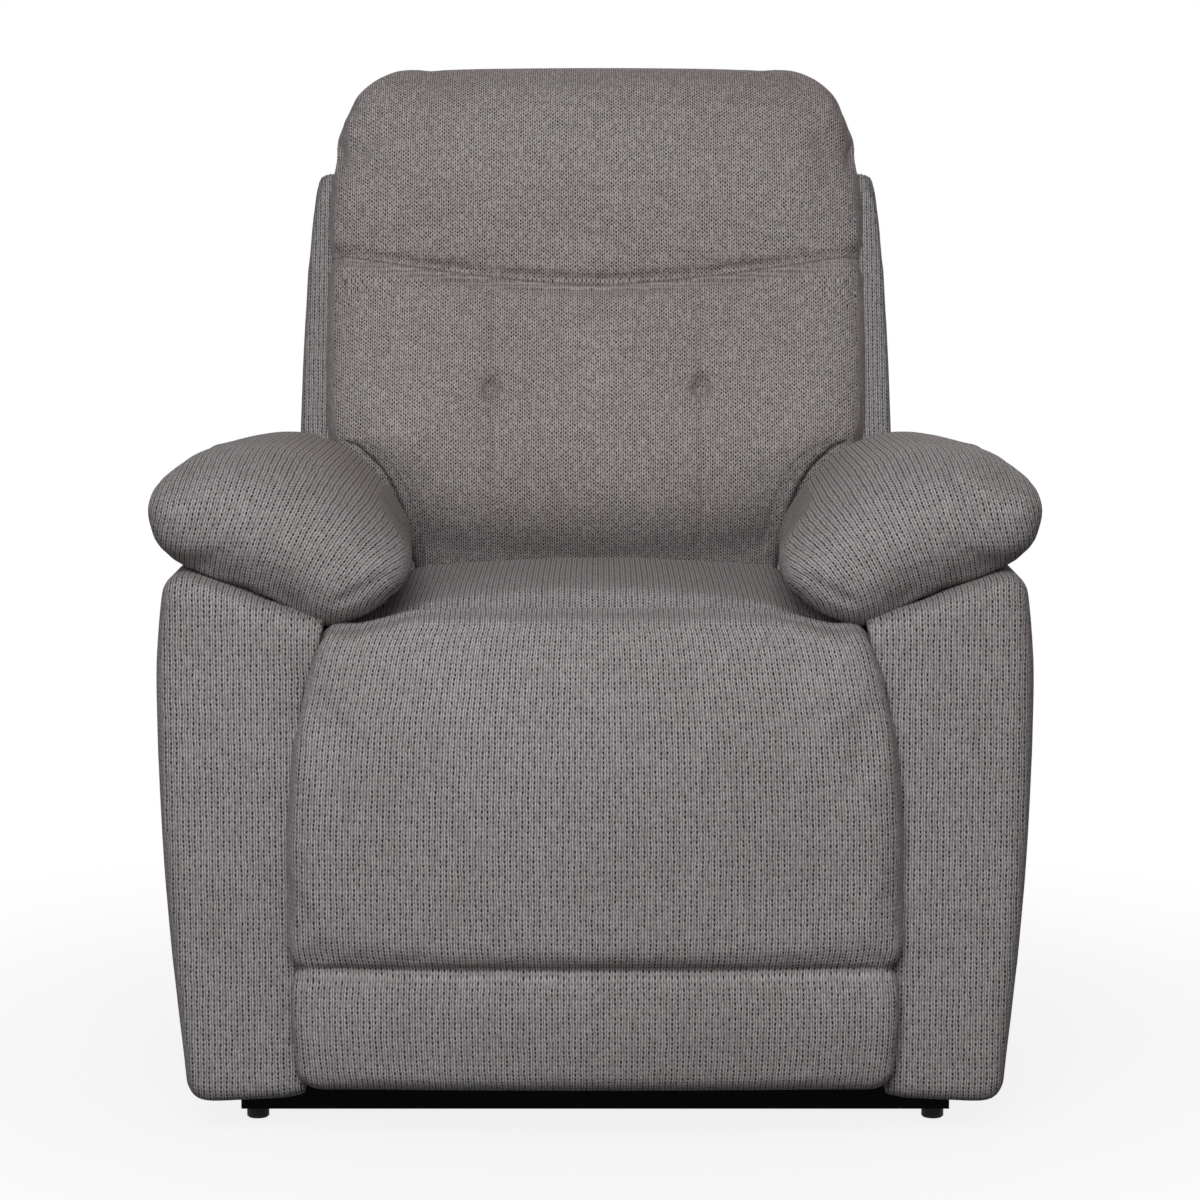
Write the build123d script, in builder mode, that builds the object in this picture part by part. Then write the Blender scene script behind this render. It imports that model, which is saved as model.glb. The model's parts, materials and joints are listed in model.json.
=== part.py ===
from build123d import *
import os
from math import cos, radians, sin

# Recliner armchair in millimetres: X to the viewer's right, Y to the back, Z up.
# The mechanism is laid out in the side view as (forward, height) pairs. Forward is counted
# from the mechanism origin towards the front of the chair. Right-hand pieces are drawn and the
# left-hand ones are their mirror images.

os.makedirs("parts", exist_ok=True)

# Overall placing
ORIGIN_Y = 36.0            # brings the middle of the whole depth to Y = 0
RUN = 0.15                 # radial clearance of every turning pivot
SOFT = 0.4                 # least gap between an upholstered piece and its neighbour

# Base
FOOT_HEIGHT = 12.0
FOOT_RADIUS = 11.0
FOOT_X = 334.0
BAR_HALF = 349.0
BAR_DEPTH = 36.0
BAR_HEIGHT = 28.0
BAR_WALL = 2.5
FRONT_BAR = 325.0          # forward position of the bar's middle
REAR_BAR = -240.0
BASE_RAIL_WIDTH = 28.0
BAR_TOP = FOOT_HEIGHT + BAR_HEIGHT

# Inner and outer side of the arms; the mechanism and the seat box fit between the inner sides
ARM_INNER = 283.0
ARM_OUTER = 421.0
BASE_RAIL_X = ARM_INNER - 13

# Side layers of the mechanism: inner and outer X of each flat steel piece
BRACKET_LAYER = (ARM_INNER - 48, ARM_INNER - 44)        # footrest bracket
FRONT_LAYER = (ARM_INNER - 43, ARM_INNER - 39)          # front link and upper link
MAIN_LAYER = (ARM_INNER - 38, ARM_INNER - 34)           # main link and guide link
RAIL_LAYER = (ARM_INNER - 33, ARM_INNER - 30)           # seat rail
BACK_LAYER = (ARM_INNER - 28.5, ARM_INNER - 24.5)       # back bracket
DRIVE_LAYER = (ARM_INNER - 23.5, ARM_INNER - 20)        # drive link
PLATE_LAYER = (ARM_INNER - 19, ARM_INNER - 15)          # mechanism plate of the base
HEAD = 2.0                          # thickness of a rivet head
RIVET = 4.0                         # rivet shank radius
RIVET_HEAD = 7.0

# Glide of the seat on the base
GLIDE = 70.0
GLIDE_ANGLE = 6.0
GLIDE_PINS = ((140.0, 290.0), (-45.0, 290.0))
GLIDE_PIN = 9.0
GLIDE_GAP = 0.3

# Back hinge and its drive link
BACK_PIVOT = (-150.0, 390.0)
BACK_TILT = 17.0
TAIL = 112.0               # drive pin below the back pivot with the back upright
TAIL_MIN = 95.5            # nearest that the drive pin comes to the back pivot
TAIL_SIDE = 3.2            # sideways play of the drive pin in its slot
DRIVE_PIN = 5.0
DRIVE_PIVOT = (-42.7, 95.9)
DRIVE_HOLE = 6.0

# Footrest linkage: two parallelograms, all links drawn with the footrest closed
MAIN_PIVOT = (250.0, 300.0)
MAIN_LENGTH = 195.0
MAIN_ANGLE = -120.0
GUIDE_STEP = (-54.0, -16.0)         # guide pivots from the main link's pivots
UPPER_STEP = (14.2, 53.1)           # upper link's pivots from the front link's pivots
FOOT_PIVOT = (328.0, 305.0)
TUBE = 18.0
TUBE_WALL = 2.0


def moved(point, step):
    return (point[0] + step[0], point[1] + step[1])


MAIN_TIP = moved(MAIN_PIVOT, (MAIN_LENGTH * cos(radians(MAIN_ANGLE)), MAIN_LENGTH * sin(radians(MAIN_ANGLE))))
GUIDE_PIVOT = moved(MAIN_PIVOT, GUIDE_STEP)
GUIDE_TIP = moved(MAIN_TIP, GUIDE_STEP)
UPPER_PIVOT = moved(MAIN_TIP, UPPER_STEP)
UPPER_TIP = moved(FOOT_PIVOT, UPPER_STEP)

# Wooden seat box and arm frames
WOOD_INNER = ARM_INNER - 33
ARM_PLY = 18.0
RAIL_TOP = 330.0           # top of the steel seat rail
WOOD_TOP = 400.0
NOTCH_HEIGHT = 372.0       # front rail is notched below this for the footrest brackets
NOTCH_HALF = ARM_INNER - 57
SEAT_BACK = -85.0          # rear end of the seat box, forward of the origin
SEAT_FRONT = 350.0
ARM_BACK = -140.0
ARM_NOSE = 427.0           # front of the upholstered arm
ARM_FRONT = ARM_NOSE - 37  # front of the wooden arm frame
ARM_TOP = 550.0            # top of the upholstered arm at its outer edge
ARM_FOOT = 42.0
ARM_SLOPE = 45 / 113       # fall of the arm's top towards the seat
PAD_NOSE = ARM_NOSE - 5    # front of the pad on the arm
ARM_PLY_TOP = ARM_TOP - ARM_SLOPE * (ARM_OUTER - 25 - ARM_INNER) - 7
ARM_BOLTS = ((300, 352), (90, 352), (-60, 352))
BOLT = 4.0
BOLT_HEAD = 9.0
BOLT_HEAD_DEPTH = 4.0
BOLT_REACH = 26.0          # how far a bolt runs into the side rail

# Footrest
BOARD_BACK = 357.0
BOARD_FRONT = 375.0
BOARD_HALF = ARM_INNER - 21
BOARD_TOP = 418.0
PAD_SEAM = 174.0
PAD_WAIST = ARM_INNER - 5           # half width between the arms
PAD_HALF = ARM_INNER + 14           # half width in front of the arms
PAD_FRONT = ARM_NOSE + 34

# Release on the viewer's left arm
RELEASE = (198.0, 378.0)
BEZEL_SEAT = -ARM_OUTER
BEZEL_FACE = BEZEL_SEAT - 3.5
BEZEL_BACK = BEZEL_SEAT + 28.5
BEZEL_INSIDE = (98.0, 58.0)
BEZEL_WALL = 3.0
BEZEL_LIP = 6.0
HINGE_X = BEZEL_SEAT + 6.5
HINGE_Z = 397.0
HINGE_PIN = 2.4
CABLE = 2.0
CABLE_X = 59 - ARM_INNER
CABLE_END = 350.0
CABLE_HOLE = 3.5
LATCH_PIVOT = (228.0, 350.0)
LATCH_LEVER = (198.0, 354.0)
LATCH_TIP = (207.5, 311.4)
LATCH_LAYER = (51 - ARM_INNER, 55 - ARM_INNER)
LATCH_PIN = 5.0
CATCH_TOOTH = (224.0, 321.9)


def side_plane(x):
    """Side view at X: local axes are forward and up, extrusions run towards minus X."""
    return Plane(origin=(x, ORIGIN_Y, 0), x_dir=(0, -1, 0), z_dir=(-1, 0, 0))


def cross_plane(forward):
    """Front view at a forward position: local axes are X and up."""
    return Plane(origin=(0, ORIGIN_Y - forward, 0), x_dir=(1, 0, 0), z_dir=(0, -1, 0))


def level_plane(height):
    """Level plane for shapes that are the same left and right: local axes are X and forward."""
    return Plane(origin=(0, ORIGIN_Y, height), x_dir=(-1, 0, 0), z_dir=(0, 0, 1))


def back_plane(ahead):
    """Front view along the tilted back through its hinge: local axes are X and up the back."""
    tilt = radians(BACK_TILT)
    hinge = (0, ORIGIN_Y - BACK_PIVOT[0], BACK_PIVOT[1])
    plane = Plane(origin=hinge, x_dir=(1, 0, 0), z_dir=(0, -cos(tilt), sin(tilt)))
    return plane.offset(ahead)


def back_section_plane(up):
    """Plane across the tilted back: local axes are X and ahead of the back's frame."""
    tilt = radians(BACK_TILT)
    hinge = (0, ORIGIN_Y - BACK_PIVOT[0], BACK_PIVOT[1])
    rise = (0, sin(tilt), cos(tilt))
    return Plane(origin=hinge, x_dir=(-1, 0, 0), z_dir=rise).offset(up)


def save(part, name):
    part.label = name
    export_step(part, f"parts/{name}.step")


def mirrored(part):
    with BuildPart() as other:
        mirror(part, about=Plane.YZ)
    return other.part


def save_pair(part, name):
    save(part, f"{name}_right")
    save(mirrored(part), f"{name}_left")


def save_both_sides(part, name):
    """One file with the right-hand pieces and their mirror images."""
    with BuildPart() as both:
        add(part)
        mirror(part, about=Plane.YZ)
    save(both.part, name)


def disc_hull(discs):
    """Flat outline wrapped round discs, each given as (forward, height) and radius."""
    with BuildSketch() as outline:
        for point, radius in discs:
            with Locations(point):
                Circle(radius)
        make_hull()
    return outline.sketch


def plate(layer, hulls, holes=()):
    """Flat steel piece in a side layer: wrapped outlines joined together, with round holes."""
    inner, outer = layer
    with BuildPart() as piece:
        with BuildSketch(side_plane(outer)):
            for discs in hulls:
                add(disc_hull(discs))
            for point, radius in holes:
                with Locations(point):
                    Circle(radius, mode=Mode.SUBTRACT)
        extrude(amount=outer - inner)
    return piece.part


def turned_pin(point, steps):
    """Round pin along X from steps of (start X, end X, radius)."""
    with BuildPart() as pin:
        for start, end, radius in steps:
            with BuildSketch(side_plane(end)):
                with Locations(point):
                    Circle(radius)
            extrude(amount=end - start)
    return pin.part


def rivet(point, start, end):
    """Rivet with a head outside each of the two pieces that it joins."""
    return turned_pin(point, (
        (start - HEAD, start, RIVET_HEAD),
        (start, end, RIVET),
        (end, end + HEAD, RIVET_HEAD),
    ))


def group(parts):
    with BuildPart() as pieces:
        for part in parts:
            add(part)
    return pieces.part


def block(x_range, forward_range, height_range):
    """Plain rectangular piece from its ranges along X, forward and height."""
    with BuildPart() as piece:
        with BuildSketch(side_plane(x_range[1])):
            middle = (sum(forward_range) / 2, sum(height_range) / 2)
            with Locations(middle):
                Rectangle(forward_range[1] - forward_range[0], height_range[1] - height_range[0])
        extrude(amount=x_range[1] - x_range[0])
    return piece.part


# Base bars, rails and feet
def base_bar(forward):
    with BuildPart() as bar:
        with BuildSketch(side_plane(BAR_HALF)):
            with Locations((forward, FOOT_HEIGHT + BAR_HEIGHT / 2)):
                Rectangle(BAR_DEPTH, BAR_HEIGHT)
                Rectangle(BAR_DEPTH - 2 * BAR_WALL, BAR_HEIGHT - 2 * BAR_WALL, mode=Mode.SUBTRACT)
        extrude(amount=2 * BAR_HALF)
    return bar.part


save(base_bar(FRONT_BAR), "base_front_bar")
save(base_bar(REAR_BAR), "base_rear_bar")

with BuildPart() as base_rail:
    with BuildSketch(cross_plane(REAR_BAR + BAR_DEPTH / 2)):
        with Locations((BASE_RAIL_X, FOOT_HEIGHT + BAR_HEIGHT / 2)):
            Rectangle(BASE_RAIL_WIDTH, BAR_HEIGHT)
            Rectangle(BASE_RAIL_WIDTH - 2 * BAR_WALL, BAR_HEIGHT - 2 * BAR_WALL, mode=Mode.SUBTRACT)
    extrude(amount=FRONT_BAR - REAR_BAR - BAR_DEPTH)
save_pair(base_rail.part, "base_rail")

with BuildPart() as feet:
    with BuildSketch(level_plane(0)):
        with Locations(*[(x, forward) for x in (-FOOT_X, FOOT_X) for forward in (FRONT_BAR, REAR_BAR)]):
            Circle(FOOT_RADIUS)
    extrude(amount=FOOT_HEIGHT)
    chamfer(feet.faces().sort_by(Axis.Z)[:4].edges(), length=1.5)
save(feet.part, "feet")

# Mechanism plates of the base, with the two inclined glide slots
with BuildPart() as mechanism_plate:
    add(plate(PLATE_LAYER, (
        [((128, 296), 14), ((222, 303), 14), ((236, 60), 14), ((112, 60), 14)],
        [((-57, 296), 14), ((37, 303), 14), ((52, 60), 14), ((-66, 60), 14)],
        [((240, BAR_TOP + 14), 14), ((-70, BAR_TOP + 14), 14), ((230, 110), 14), ((-60, 110), 14)],
    ), [(DRIVE_PIVOT, DRIVE_HOLE + RUN)]))
    with BuildSketch(side_plane(PLATE_LAYER[1])):
        for pin in GLIDE_PINS:
            half = GLIDE / 2
            centre = moved(pin, (half * cos(radians(GLIDE_ANGLE)), half * sin(radians(GLIDE_ANGLE))))
            with Locations(centre):
                SlotCenterToCenter(GLIDE, 2 * (GLIDE_PIN + GLIDE_GAP), rotation=GLIDE_ANGLE)
    extrude(amount=PLATE_LAYER[1] - PLATE_LAYER[0], mode=Mode.SUBTRACT)
    add(block((PLATE_LAYER[0], BASE_RAIL_X + BASE_RAIL_WIDTH / 2), (-70, 240), (BAR_TOP, BAR_TOP + 3)))
save_pair(mechanism_plate.part, "mechanism_plate")

# Steel seat rails with their outward flange and the ear that carries the back
with BuildPart() as seat_rail:
    add(block(RAIL_LAYER, (SEAT_BACK - 23, SEAT_FRONT - 5), (270, RAIL_TOP)))
    add(block((RAIL_LAYER[0], ARM_INNER - 2), (SEAT_BACK + 24, SEAT_FRONT - 5), (RAIL_TOP - 3, RAIL_TOP)))
    add(plate(RAIL_LAYER, ([(BACK_PIVOT, 17), ((-112, 294), 24)],)))
    with BuildSketch(side_plane(RAIL_LAYER[1])):
        with Locations(MAIN_PIVOT, GUIDE_PIVOT, BACK_PIVOT):
            Circle(RIVET)
        with Locations(*GLIDE_PINS):
            Circle(6)
    extrude(amount=RAIL_LAYER[1] - RAIL_LAYER[0], mode=Mode.SUBTRACT)
save_pair(seat_rail.part, "seat_rail")

glide_pins = [
    turned_pin(point, (
        (RAIL_LAYER[0], RAIL_LAYER[1], 6),
        (RAIL_LAYER[1], PLATE_LAYER[1] + 0.6, GLIDE_PIN),
        (PLATE_LAYER[1] + 0.6, PLATE_LAYER[1] + 3.6, GLIDE_PIN + 3.5),
    ))
    for point in GLIDE_PINS
]
save_both_sides(group(glide_pins), "glide_pins")

rail_rivets = [
    turned_pin(MAIN_PIVOT, (
        (MAIN_LAYER[0] - HEAD, MAIN_LAYER[0], 6),
        (MAIN_LAYER[0], RAIL_LAYER[1], RIVET),
        (RAIL_LAYER[1], RAIL_LAYER[1] + HEAD, RIVET_HEAD),
    )),
    rivet(GUIDE_PIVOT, MAIN_LAYER[0], RAIL_LAYER[1]),
    rivet(BACK_PIVOT, RAIL_LAYER[0], BACK_LAYER[1]),
]
save_both_sides(group(rail_rivets), "seat_rail_rivets")

# Wooden seat box
def side_rail():
    """Right-hand seat side rail with blind holes for the arm bolts."""
    with BuildPart() as rail:
        add(block((WOOD_INNER, ARM_INNER), (SEAT_BACK, SEAT_FRONT), (RAIL_TOP, WOOD_TOP)))
        with BuildSketch(side_plane(ARM_INNER)):
            with Locations(*ARM_BOLTS):
                Circle(BOLT)
        extrude(amount=BOLT_REACH, mode=Mode.SUBTRACT)
    return rail.part


save(side_rail(), "seat_side_rail_right")
with BuildPart() as seat_side_rail_left:
    add(mirrored(side_rail()))
    with BuildSketch(side_plane(-WOOD_INNER)):
        with Locations(RELEASE):
            Circle(CABLE_HOLE)
        with Locations(LATCH_PIVOT):
            Circle(LATCH_PIN + RUN)
    extrude(amount=ARM_INNER - WOOD_INNER, mode=Mode.SUBTRACT)
save(seat_side_rail_left.part, "seat_side_rail_left")

with BuildPart() as seat_front_rail:
    add(block((-WOOD_INNER, WOOD_INNER), (SEAT_FRONT - 32, SEAT_FRONT), (NOTCH_HEIGHT, WOOD_TOP)))
    add(block((-NOTCH_HALF, NOTCH_HALF), (SEAT_FRONT - 32, SEAT_FRONT), (RAIL_TOP + 5, NOTCH_HEIGHT)))
save(seat_front_rail.part, "seat_front_rail")
save(block((-WOOD_INNER, WOOD_INNER), (SEAT_BACK, SEAT_BACK + 28), (RAIL_TOP, WOOD_TOP)), "seat_rear_rail")

# Sinuous seat springs, stapled across the front and rear rails
SPRING_WIRE = 1.8
SPRING_HALF = 20.0
SPRING_PITCH = 37.0
SPRING_ROWS = 12
with BuildPart() as seat_spring:
    turns = []
    for row in range(SPRING_ROWS):
        forward = SEAT_BACK + 12 + row * SPRING_PITCH
        side = SPRING_HALF if row % 2 else -SPRING_HALF
        turns += [(side, forward), (-side, forward)]
    with BuildLine(level_plane(WOOD_TOP + SPRING_WIRE)):
        spring_path = FilletPolyline(*turns, radius=14)
    with BuildSketch(Plane(origin=spring_path @ 0, z_dir=spring_path % 0)):
        Circle(SPRING_WIRE)
    sweep()
with BuildPart() as seat_springs:
    with Locations(*[(x, 0, 0) for x in (-196, -98, 0, 98, 196)]):
        add(seat_spring.part)
save(seat_springs.part, "seat_springs")


def cushion_section(plane, half, bottom, shoulder, crown, swell):
    """Closed cushion section: flat bottom, sides that swell out, crowned top."""
    inset = 0.2 * half
    rise = crown - shoulder
    edge = (half - inset, shoulder + 0.58 * rise)
    turn = (half - 0.3 * inset, shoulder + 0.33 * rise)
    with BuildSketch(plane) as section:
        with BuildLine():
            Line((-half, bottom), (half, bottom))
            ThreePointArc((half, bottom), (half + swell, (bottom + shoulder) / 2), (half, shoulder))
            ThreePointArc((half, shoulder), turn, edge)
            ThreePointArc(edge, (0, crown), (-edge[0], edge[1]))
            ThreePointArc((-edge[0], edge[1]), (-turn[0], turn[1]), (-half, shoulder))
            ThreePointArc((-half, shoulder), (-half - swell, (bottom + shoulder) / 2), (-half, bottom))
        make_face()
    return section.sketch


# Seat cushion, lofted from front to back
SEAT_BOTTOM = WOOD_TOP + 2 * SPRING_WIRE + SOFT
SEAT_SHOULDER = SEAT_BOTTOM + 50
SEAT_CROWN = SEAT_BOTTOM + 117
SEAT_HALF = ARM_INNER - 8


def seat_section(forward, narrow, lift, drop, fall, swell=4):
    """Seat cushion seen from the front, drawn in from its full section."""
    return cushion_section(cross_plane(forward), SEAT_HALF - narrow, SEAT_BOTTOM + lift, SEAT_SHOULDER - drop,
                           SEAT_CROWN - fall, swell)


with BuildPart() as seat_cushion:
    loft(sections=[
        seat_section(SEAT_FRONT + 1, 13, 8, 10, 30, 3),
        seat_section(SEAT_FRONT - 4, 6, 3, 4, 16),
        seat_section(SEAT_FRONT - 15, 2, 0, 1, 8),
        seat_section(SEAT_FRONT - 50, 0, 0, 0, 2),
        seat_section(SEAT_FRONT - 150, 0, 0, 0, 0),
        seat_section(SEAT_BACK + 145, 0, 0, 1, 3),
        seat_section(SEAT_BACK + 45, 0, 0, 2, 6),
        seat_section(SEAT_BACK + 13, 3, 0, 5, 13),
        seat_section(SEAT_BACK + 1, 11, 5, 12, 28, 3),
    ], ruled=True)
save(seat_cushion.part, "seat_cushion")

# Arms: plywood frame, upholstered body and the overstuffed pad on top
with BuildPart() as arm_frame_right:
    add(block((ARM_INNER, ARM_INNER + ARM_PLY), (ARM_BACK, ARM_FRONT), (50, ARM_PLY_TOP)))
    with BuildSketch(side_plane(ARM_INNER + ARM_PLY)):
        with Locations(*ARM_BOLTS):
            Circle(BOLT)
    extrude(amount=ARM_PLY, mode=Mode.SUBTRACT)
    with BuildSketch(side_plane(ARM_INNER + ARM_PLY)):
        with Locations(*ARM_BOLTS):
            Circle(BOLT_HEAD)
    extrude(amount=BOLT_HEAD_DEPTH, mode=Mode.SUBTRACT)
save(arm_frame_right.part, "arm_frame_right")

with BuildPart() as arm_frame_left:
    add(mirrored(arm_frame_right.part))
    with BuildSketch(side_plane(-ARM_INNER)):
        with Locations(RELEASE):
            Circle(CABLE_HOLE)
    extrude(amount=ARM_PLY, mode=Mode.SUBTRACT)
save(arm_frame_left.part, "arm_frame_left")


def arm_section(forward, inset):
    """Arm seen from the front, drawn in by an inset towards the nose."""
    middle = (ARM_INNER + ARM_OUTER) / 2

    def at(x, height):
        return (middle + (x - middle) * (1 - inset / 71), 300 + (height - 300) * (1 - inset / 400))

    edge = ARM_OUTER - 25
    inner_top = ARM_TOP - ARM_SLOPE * (edge - ARM_INNER)
    with BuildSketch(cross_plane(forward)) as section:
        with BuildLine():
            Line(at(ARM_INNER, inner_top), at(ARM_INNER, ARM_FOOT + 5))
            Line(at(ARM_INNER, ARM_FOOT + 5), at(ARM_OUTER - 46, ARM_FOOT))
            ThreePointArc(at(ARM_OUTER - 46, ARM_FOOT), at(ARM_OUTER - 30, ARM_FOOT + 6),
                          at(ARM_OUTER - 24, ARM_FOOT + 24))
            ThreePointArc(at(ARM_OUTER - 24, ARM_FOOT + 24), at(ARM_OUTER - 6, 250), at(ARM_OUTER, 420))
            ThreePointArc(at(ARM_OUTER, 420), at(ARM_OUTER - 1, 478), at(ARM_OUTER - 6, ARM_TOP - 22))
            ThreePointArc(at(ARM_OUTER - 6, ARM_TOP - 22), at(ARM_OUTER - 12, ARM_TOP - 6), at(edge, ARM_TOP))
            Line(at(edge, ARM_TOP), at(ARM_INNER, inner_top))
        make_face()
    return section.sketch


with BuildPart() as arm_body_right:
    loft(sections=[
        arm_section(ARM_BACK, 7),
        arm_section(ARM_BACK + 5, 2.5),
        arm_section(ARM_BACK + 14, 0),
        arm_section(ARM_NOSE - 33, 0),
        arm_section(ARM_NOSE - 19, 2),
        arm_section(ARM_NOSE - 10, 6),
        arm_section(ARM_NOSE - 4, 12),
        arm_section(ARM_NOSE, 22),
    ], ruled=True)
    add(block((ARM_INNER - 1, ARM_INNER + ARM_PLY + SOFT), (ARM_BACK - 5, ARM_FRONT + SOFT),
              (ARM_FOOT - 7, ARM_PLY_TOP + SOFT)),
        mode=Mode.SUBTRACT)
save(arm_body_right.part, "arm_body_right")

bezel_width, bezel_height = BEZEL_INSIDE
with BuildPart() as arm_body_left:
    add(mirrored(arm_body_right.part))
    with BuildSketch(side_plane(BEZEL_SEAT + SOFT)):
        with Locations(RELEASE):
            Rectangle(bezel_width + 2 * (BEZEL_WALL + BEZEL_LIP) + 1,
                      bezel_height + 2 * (BEZEL_WALL + BEZEL_LIP) + 1)
    extrude(amount=20, mode=Mode.SUBTRACT)
    with BuildSketch(side_plane(BEZEL_BACK + SOFT)):
        with Locations(RELEASE):
            Rectangle(bezel_width + 2 * BEZEL_WALL + 2 * SOFT, bezel_height + 2 * BEZEL_WALL + 2 * SOFT)
    extrude(amount=40, mode=Mode.SUBTRACT)
    with BuildSketch(side_plane(-ARM_INNER)):
        with Locations(RELEASE):
            Circle(CABLE_HOLE)
    extrude(amount=ARM_OUTER - ARM_INNER, mode=Mode.SUBTRACT)
save(arm_body_left.part, "arm_body_left")


def pad_section(forward, size):
    """Overstuffed arm pad seen from the front, shrunk about its middle."""
    middle = ARM_INNER + 35

    def at(x, height):
        return (middle + (x - middle) * size, ARM_TOP + 28 + (height - ARM_TOP - 28) * size)

    edge = ARM_OUTER - 25
    seat_side = ARM_INNER - 21
    crest = ARM_INNER + 31
    with BuildSketch(cross_plane(forward)) as section:
        with BuildLine():
            Line(at(seat_side, ARM_TOP + SOFT - ARM_SLOPE * (edge - seat_side)), at(edge, ARM_TOP + SOFT))
            ThreePointArc(at(edge, ARM_TOP + SOFT), at(ARM_OUTER - 6, ARM_TOP + 21),
                          at(ARM_OUTER + 7, ARM_TOP + 75))
            ThreePointArc(at(ARM_OUTER + 7, ARM_TOP + 75), at(ARM_OUTER - 21, ARM_TOP + 91),
                          at(crest, ARM_TOP + 107))
            ThreePointArc(at(crest, ARM_TOP + 107), at(crest - 66, ARM_TOP + 81),
                          at(crest - 130, ARM_TOP - 14))
            ThreePointArc(at(crest - 130, ARM_TOP - 14), at(crest - 114, ARM_TOP - 36),
                          at(seat_side, ARM_TOP + SOFT - ARM_SLOPE * (edge - seat_side)))
        make_face()
    return section.sketch


with BuildPart() as arm_pad:
    loft(sections=[
        pad_section(-98, 0.7),
        pad_section(-92, 0.82),
        pad_section(-80, 0.91),
        pad_section(-50, 0.97),
        pad_section(60, 1.0),
        pad_section(PAD_NOSE - 122, 1.0),
        pad_section(PAD_NOSE - 42, 0.98),
        pad_section(PAD_NOSE - 17, 0.92),
        pad_section(PAD_NOSE - 6, 0.84),
        pad_section(PAD_NOSE, 0.74),
    ], ruled=True)
save_pair(arm_pad.part, "arm_pad")

arm_bolts = [
    turned_pin(point, (
        (ARM_INNER - BOLT_REACH, ARM_INNER + ARM_PLY - BOLT_HEAD_DEPTH, BOLT),
        (ARM_INNER + ARM_PLY - BOLT_HEAD_DEPTH, ARM_INNER + ARM_PLY, BOLT_HEAD),
    ))
    for point in ARM_BOLTS
]
save_both_sides(group(arm_bolts), "arm_bolts")

# Footrest linkage
save_pair(plate(MAIN_LAYER, (
    [(MAIN_PIVOT, 14), (MAIN_TIP, 12)],
    [(UPPER_PIVOT, 11), (MAIN_TIP, 12)],
), [(MAIN_PIVOT, RIVET + RUN), (MAIN_TIP, RIVET), (UPPER_PIVOT, RIVET)]), "main_link")
save_pair(plate(MAIN_LAYER, ([(GUIDE_PIVOT, 11), (GUIDE_TIP, 11)],),
                [(GUIDE_PIVOT, RIVET + RUN), (GUIDE_TIP, RIVET)]), "guide_link")
save_pair(plate(FRONT_LAYER, ([(GUIDE_TIP, 11), (MAIN_TIP, 12)], [(MAIN_TIP, 12), (FOOT_PIVOT, 11)]),
                [(GUIDE_TIP, RIVET + RUN), (MAIN_TIP, RIVET + RUN), (FOOT_PIVOT, RIVET + RUN)]), "front_link")
save_pair(plate(FRONT_LAYER, ([(UPPER_PIVOT, 9.5), (UPPER_TIP, 9.5)],),
                [(UPPER_PIVOT, RIVET + RUN), (UPPER_TIP, RIVET + RUN)]), "upper_link")
save_both_sides(group([rivet(point, FRONT_LAYER[0], MAIN_LAYER[1]) for point in (MAIN_TIP, UPPER_PIVOT)]),
                "main_link_rivets")
save_both_sides(rivet(GUIDE_TIP, FRONT_LAYER[0], MAIN_LAYER[1]), "guide_link_rivets")

with BuildPart() as drive_tube:
    with BuildSketch(side_plane(MAIN_LAYER[0])):
        with Locations(MAIN_PIVOT):
            Rectangle(TUBE, TUBE, rotation=45)
            Rectangle(TUBE - 2 * TUBE_WALL, TUBE - 2 * TUBE_WALL, rotation=45, mode=Mode.SUBTRACT)
    extrude(amount=2 * MAIN_LAYER[0])
save(drive_tube.part, "drive_tube")

# Footrest: brackets, board and two pads with a sewn seam between them
with BuildPart() as footrest_bracket:
    add(plate(BRACKET_LAYER, ([
        (FOOT_PIVOT, 11),
        (UPPER_TIP, 10.5),
        ((BOARD_BACK - 7, 290), 6),
        ((BOARD_BACK - 7, 362), 6),
    ],), [(FOOT_PIVOT, RIVET), (UPPER_TIP, RIVET)]))
    add(block((205, BRACKET_LAYER[1]), (BOARD_BACK - 3, BOARD_BACK), (284, 368)))
save_pair(footrest_bracket.part, "footrest_bracket")
save_both_sides(group([rivet(point, BRACKET_LAYER[0], FRONT_LAYER[1]) for point in (FOOT_PIVOT, UPPER_TIP)]),
                "footrest_rivets")
save(block((-BOARD_HALF, BOARD_HALF), (BOARD_BACK, BOARD_FRONT), (66, BOARD_TOP)), "footrest_board")


def footrest_section(height, back, waist, half, front, crown):
    """Level section of a footrest pad: narrow between the arms, swelling out in front of them."""
    neck = back + 0.51 * (front - back)
    cheek = back + 0.72 * (front - back)
    with BuildSketch(level_plane(height)) as section:
        with BuildLine():
            Line((-waist, back), (waist, back))
            Line((waist, back), (waist, neck))
            ThreePointArc((waist, neck), (half, cheek), (half - 26, front))
            ThreePointArc((half - 26, front), (0, front + crown), (26 - half, front))
            ThreePointArc((26 - half, front), (-half, cheek), (-waist, neck))
            Line((-waist, neck), (-waist, back))
        make_face()
    return section.sketch


PAD_BACK = BOARD_FRONT + SOFT
ROLL_BACK = BOARD_BACK + 3          # the upper pad rolls back over the board's top edge


def pad_at(height, narrow, waist, back, crown, roll=None):
    """Footrest pad section, narrowed and set back from the full one by shares of its depth."""
    depth = PAD_FRONT - PAD_BACK
    behind = PAD_BACK if roll is None else ROLL_BACK + roll * depth
    front = PAD_FRONT - back * depth
    return footrest_section(height, behind, PAD_WAIST - waist, PAD_HALF - narrow, front, crown)


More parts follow.
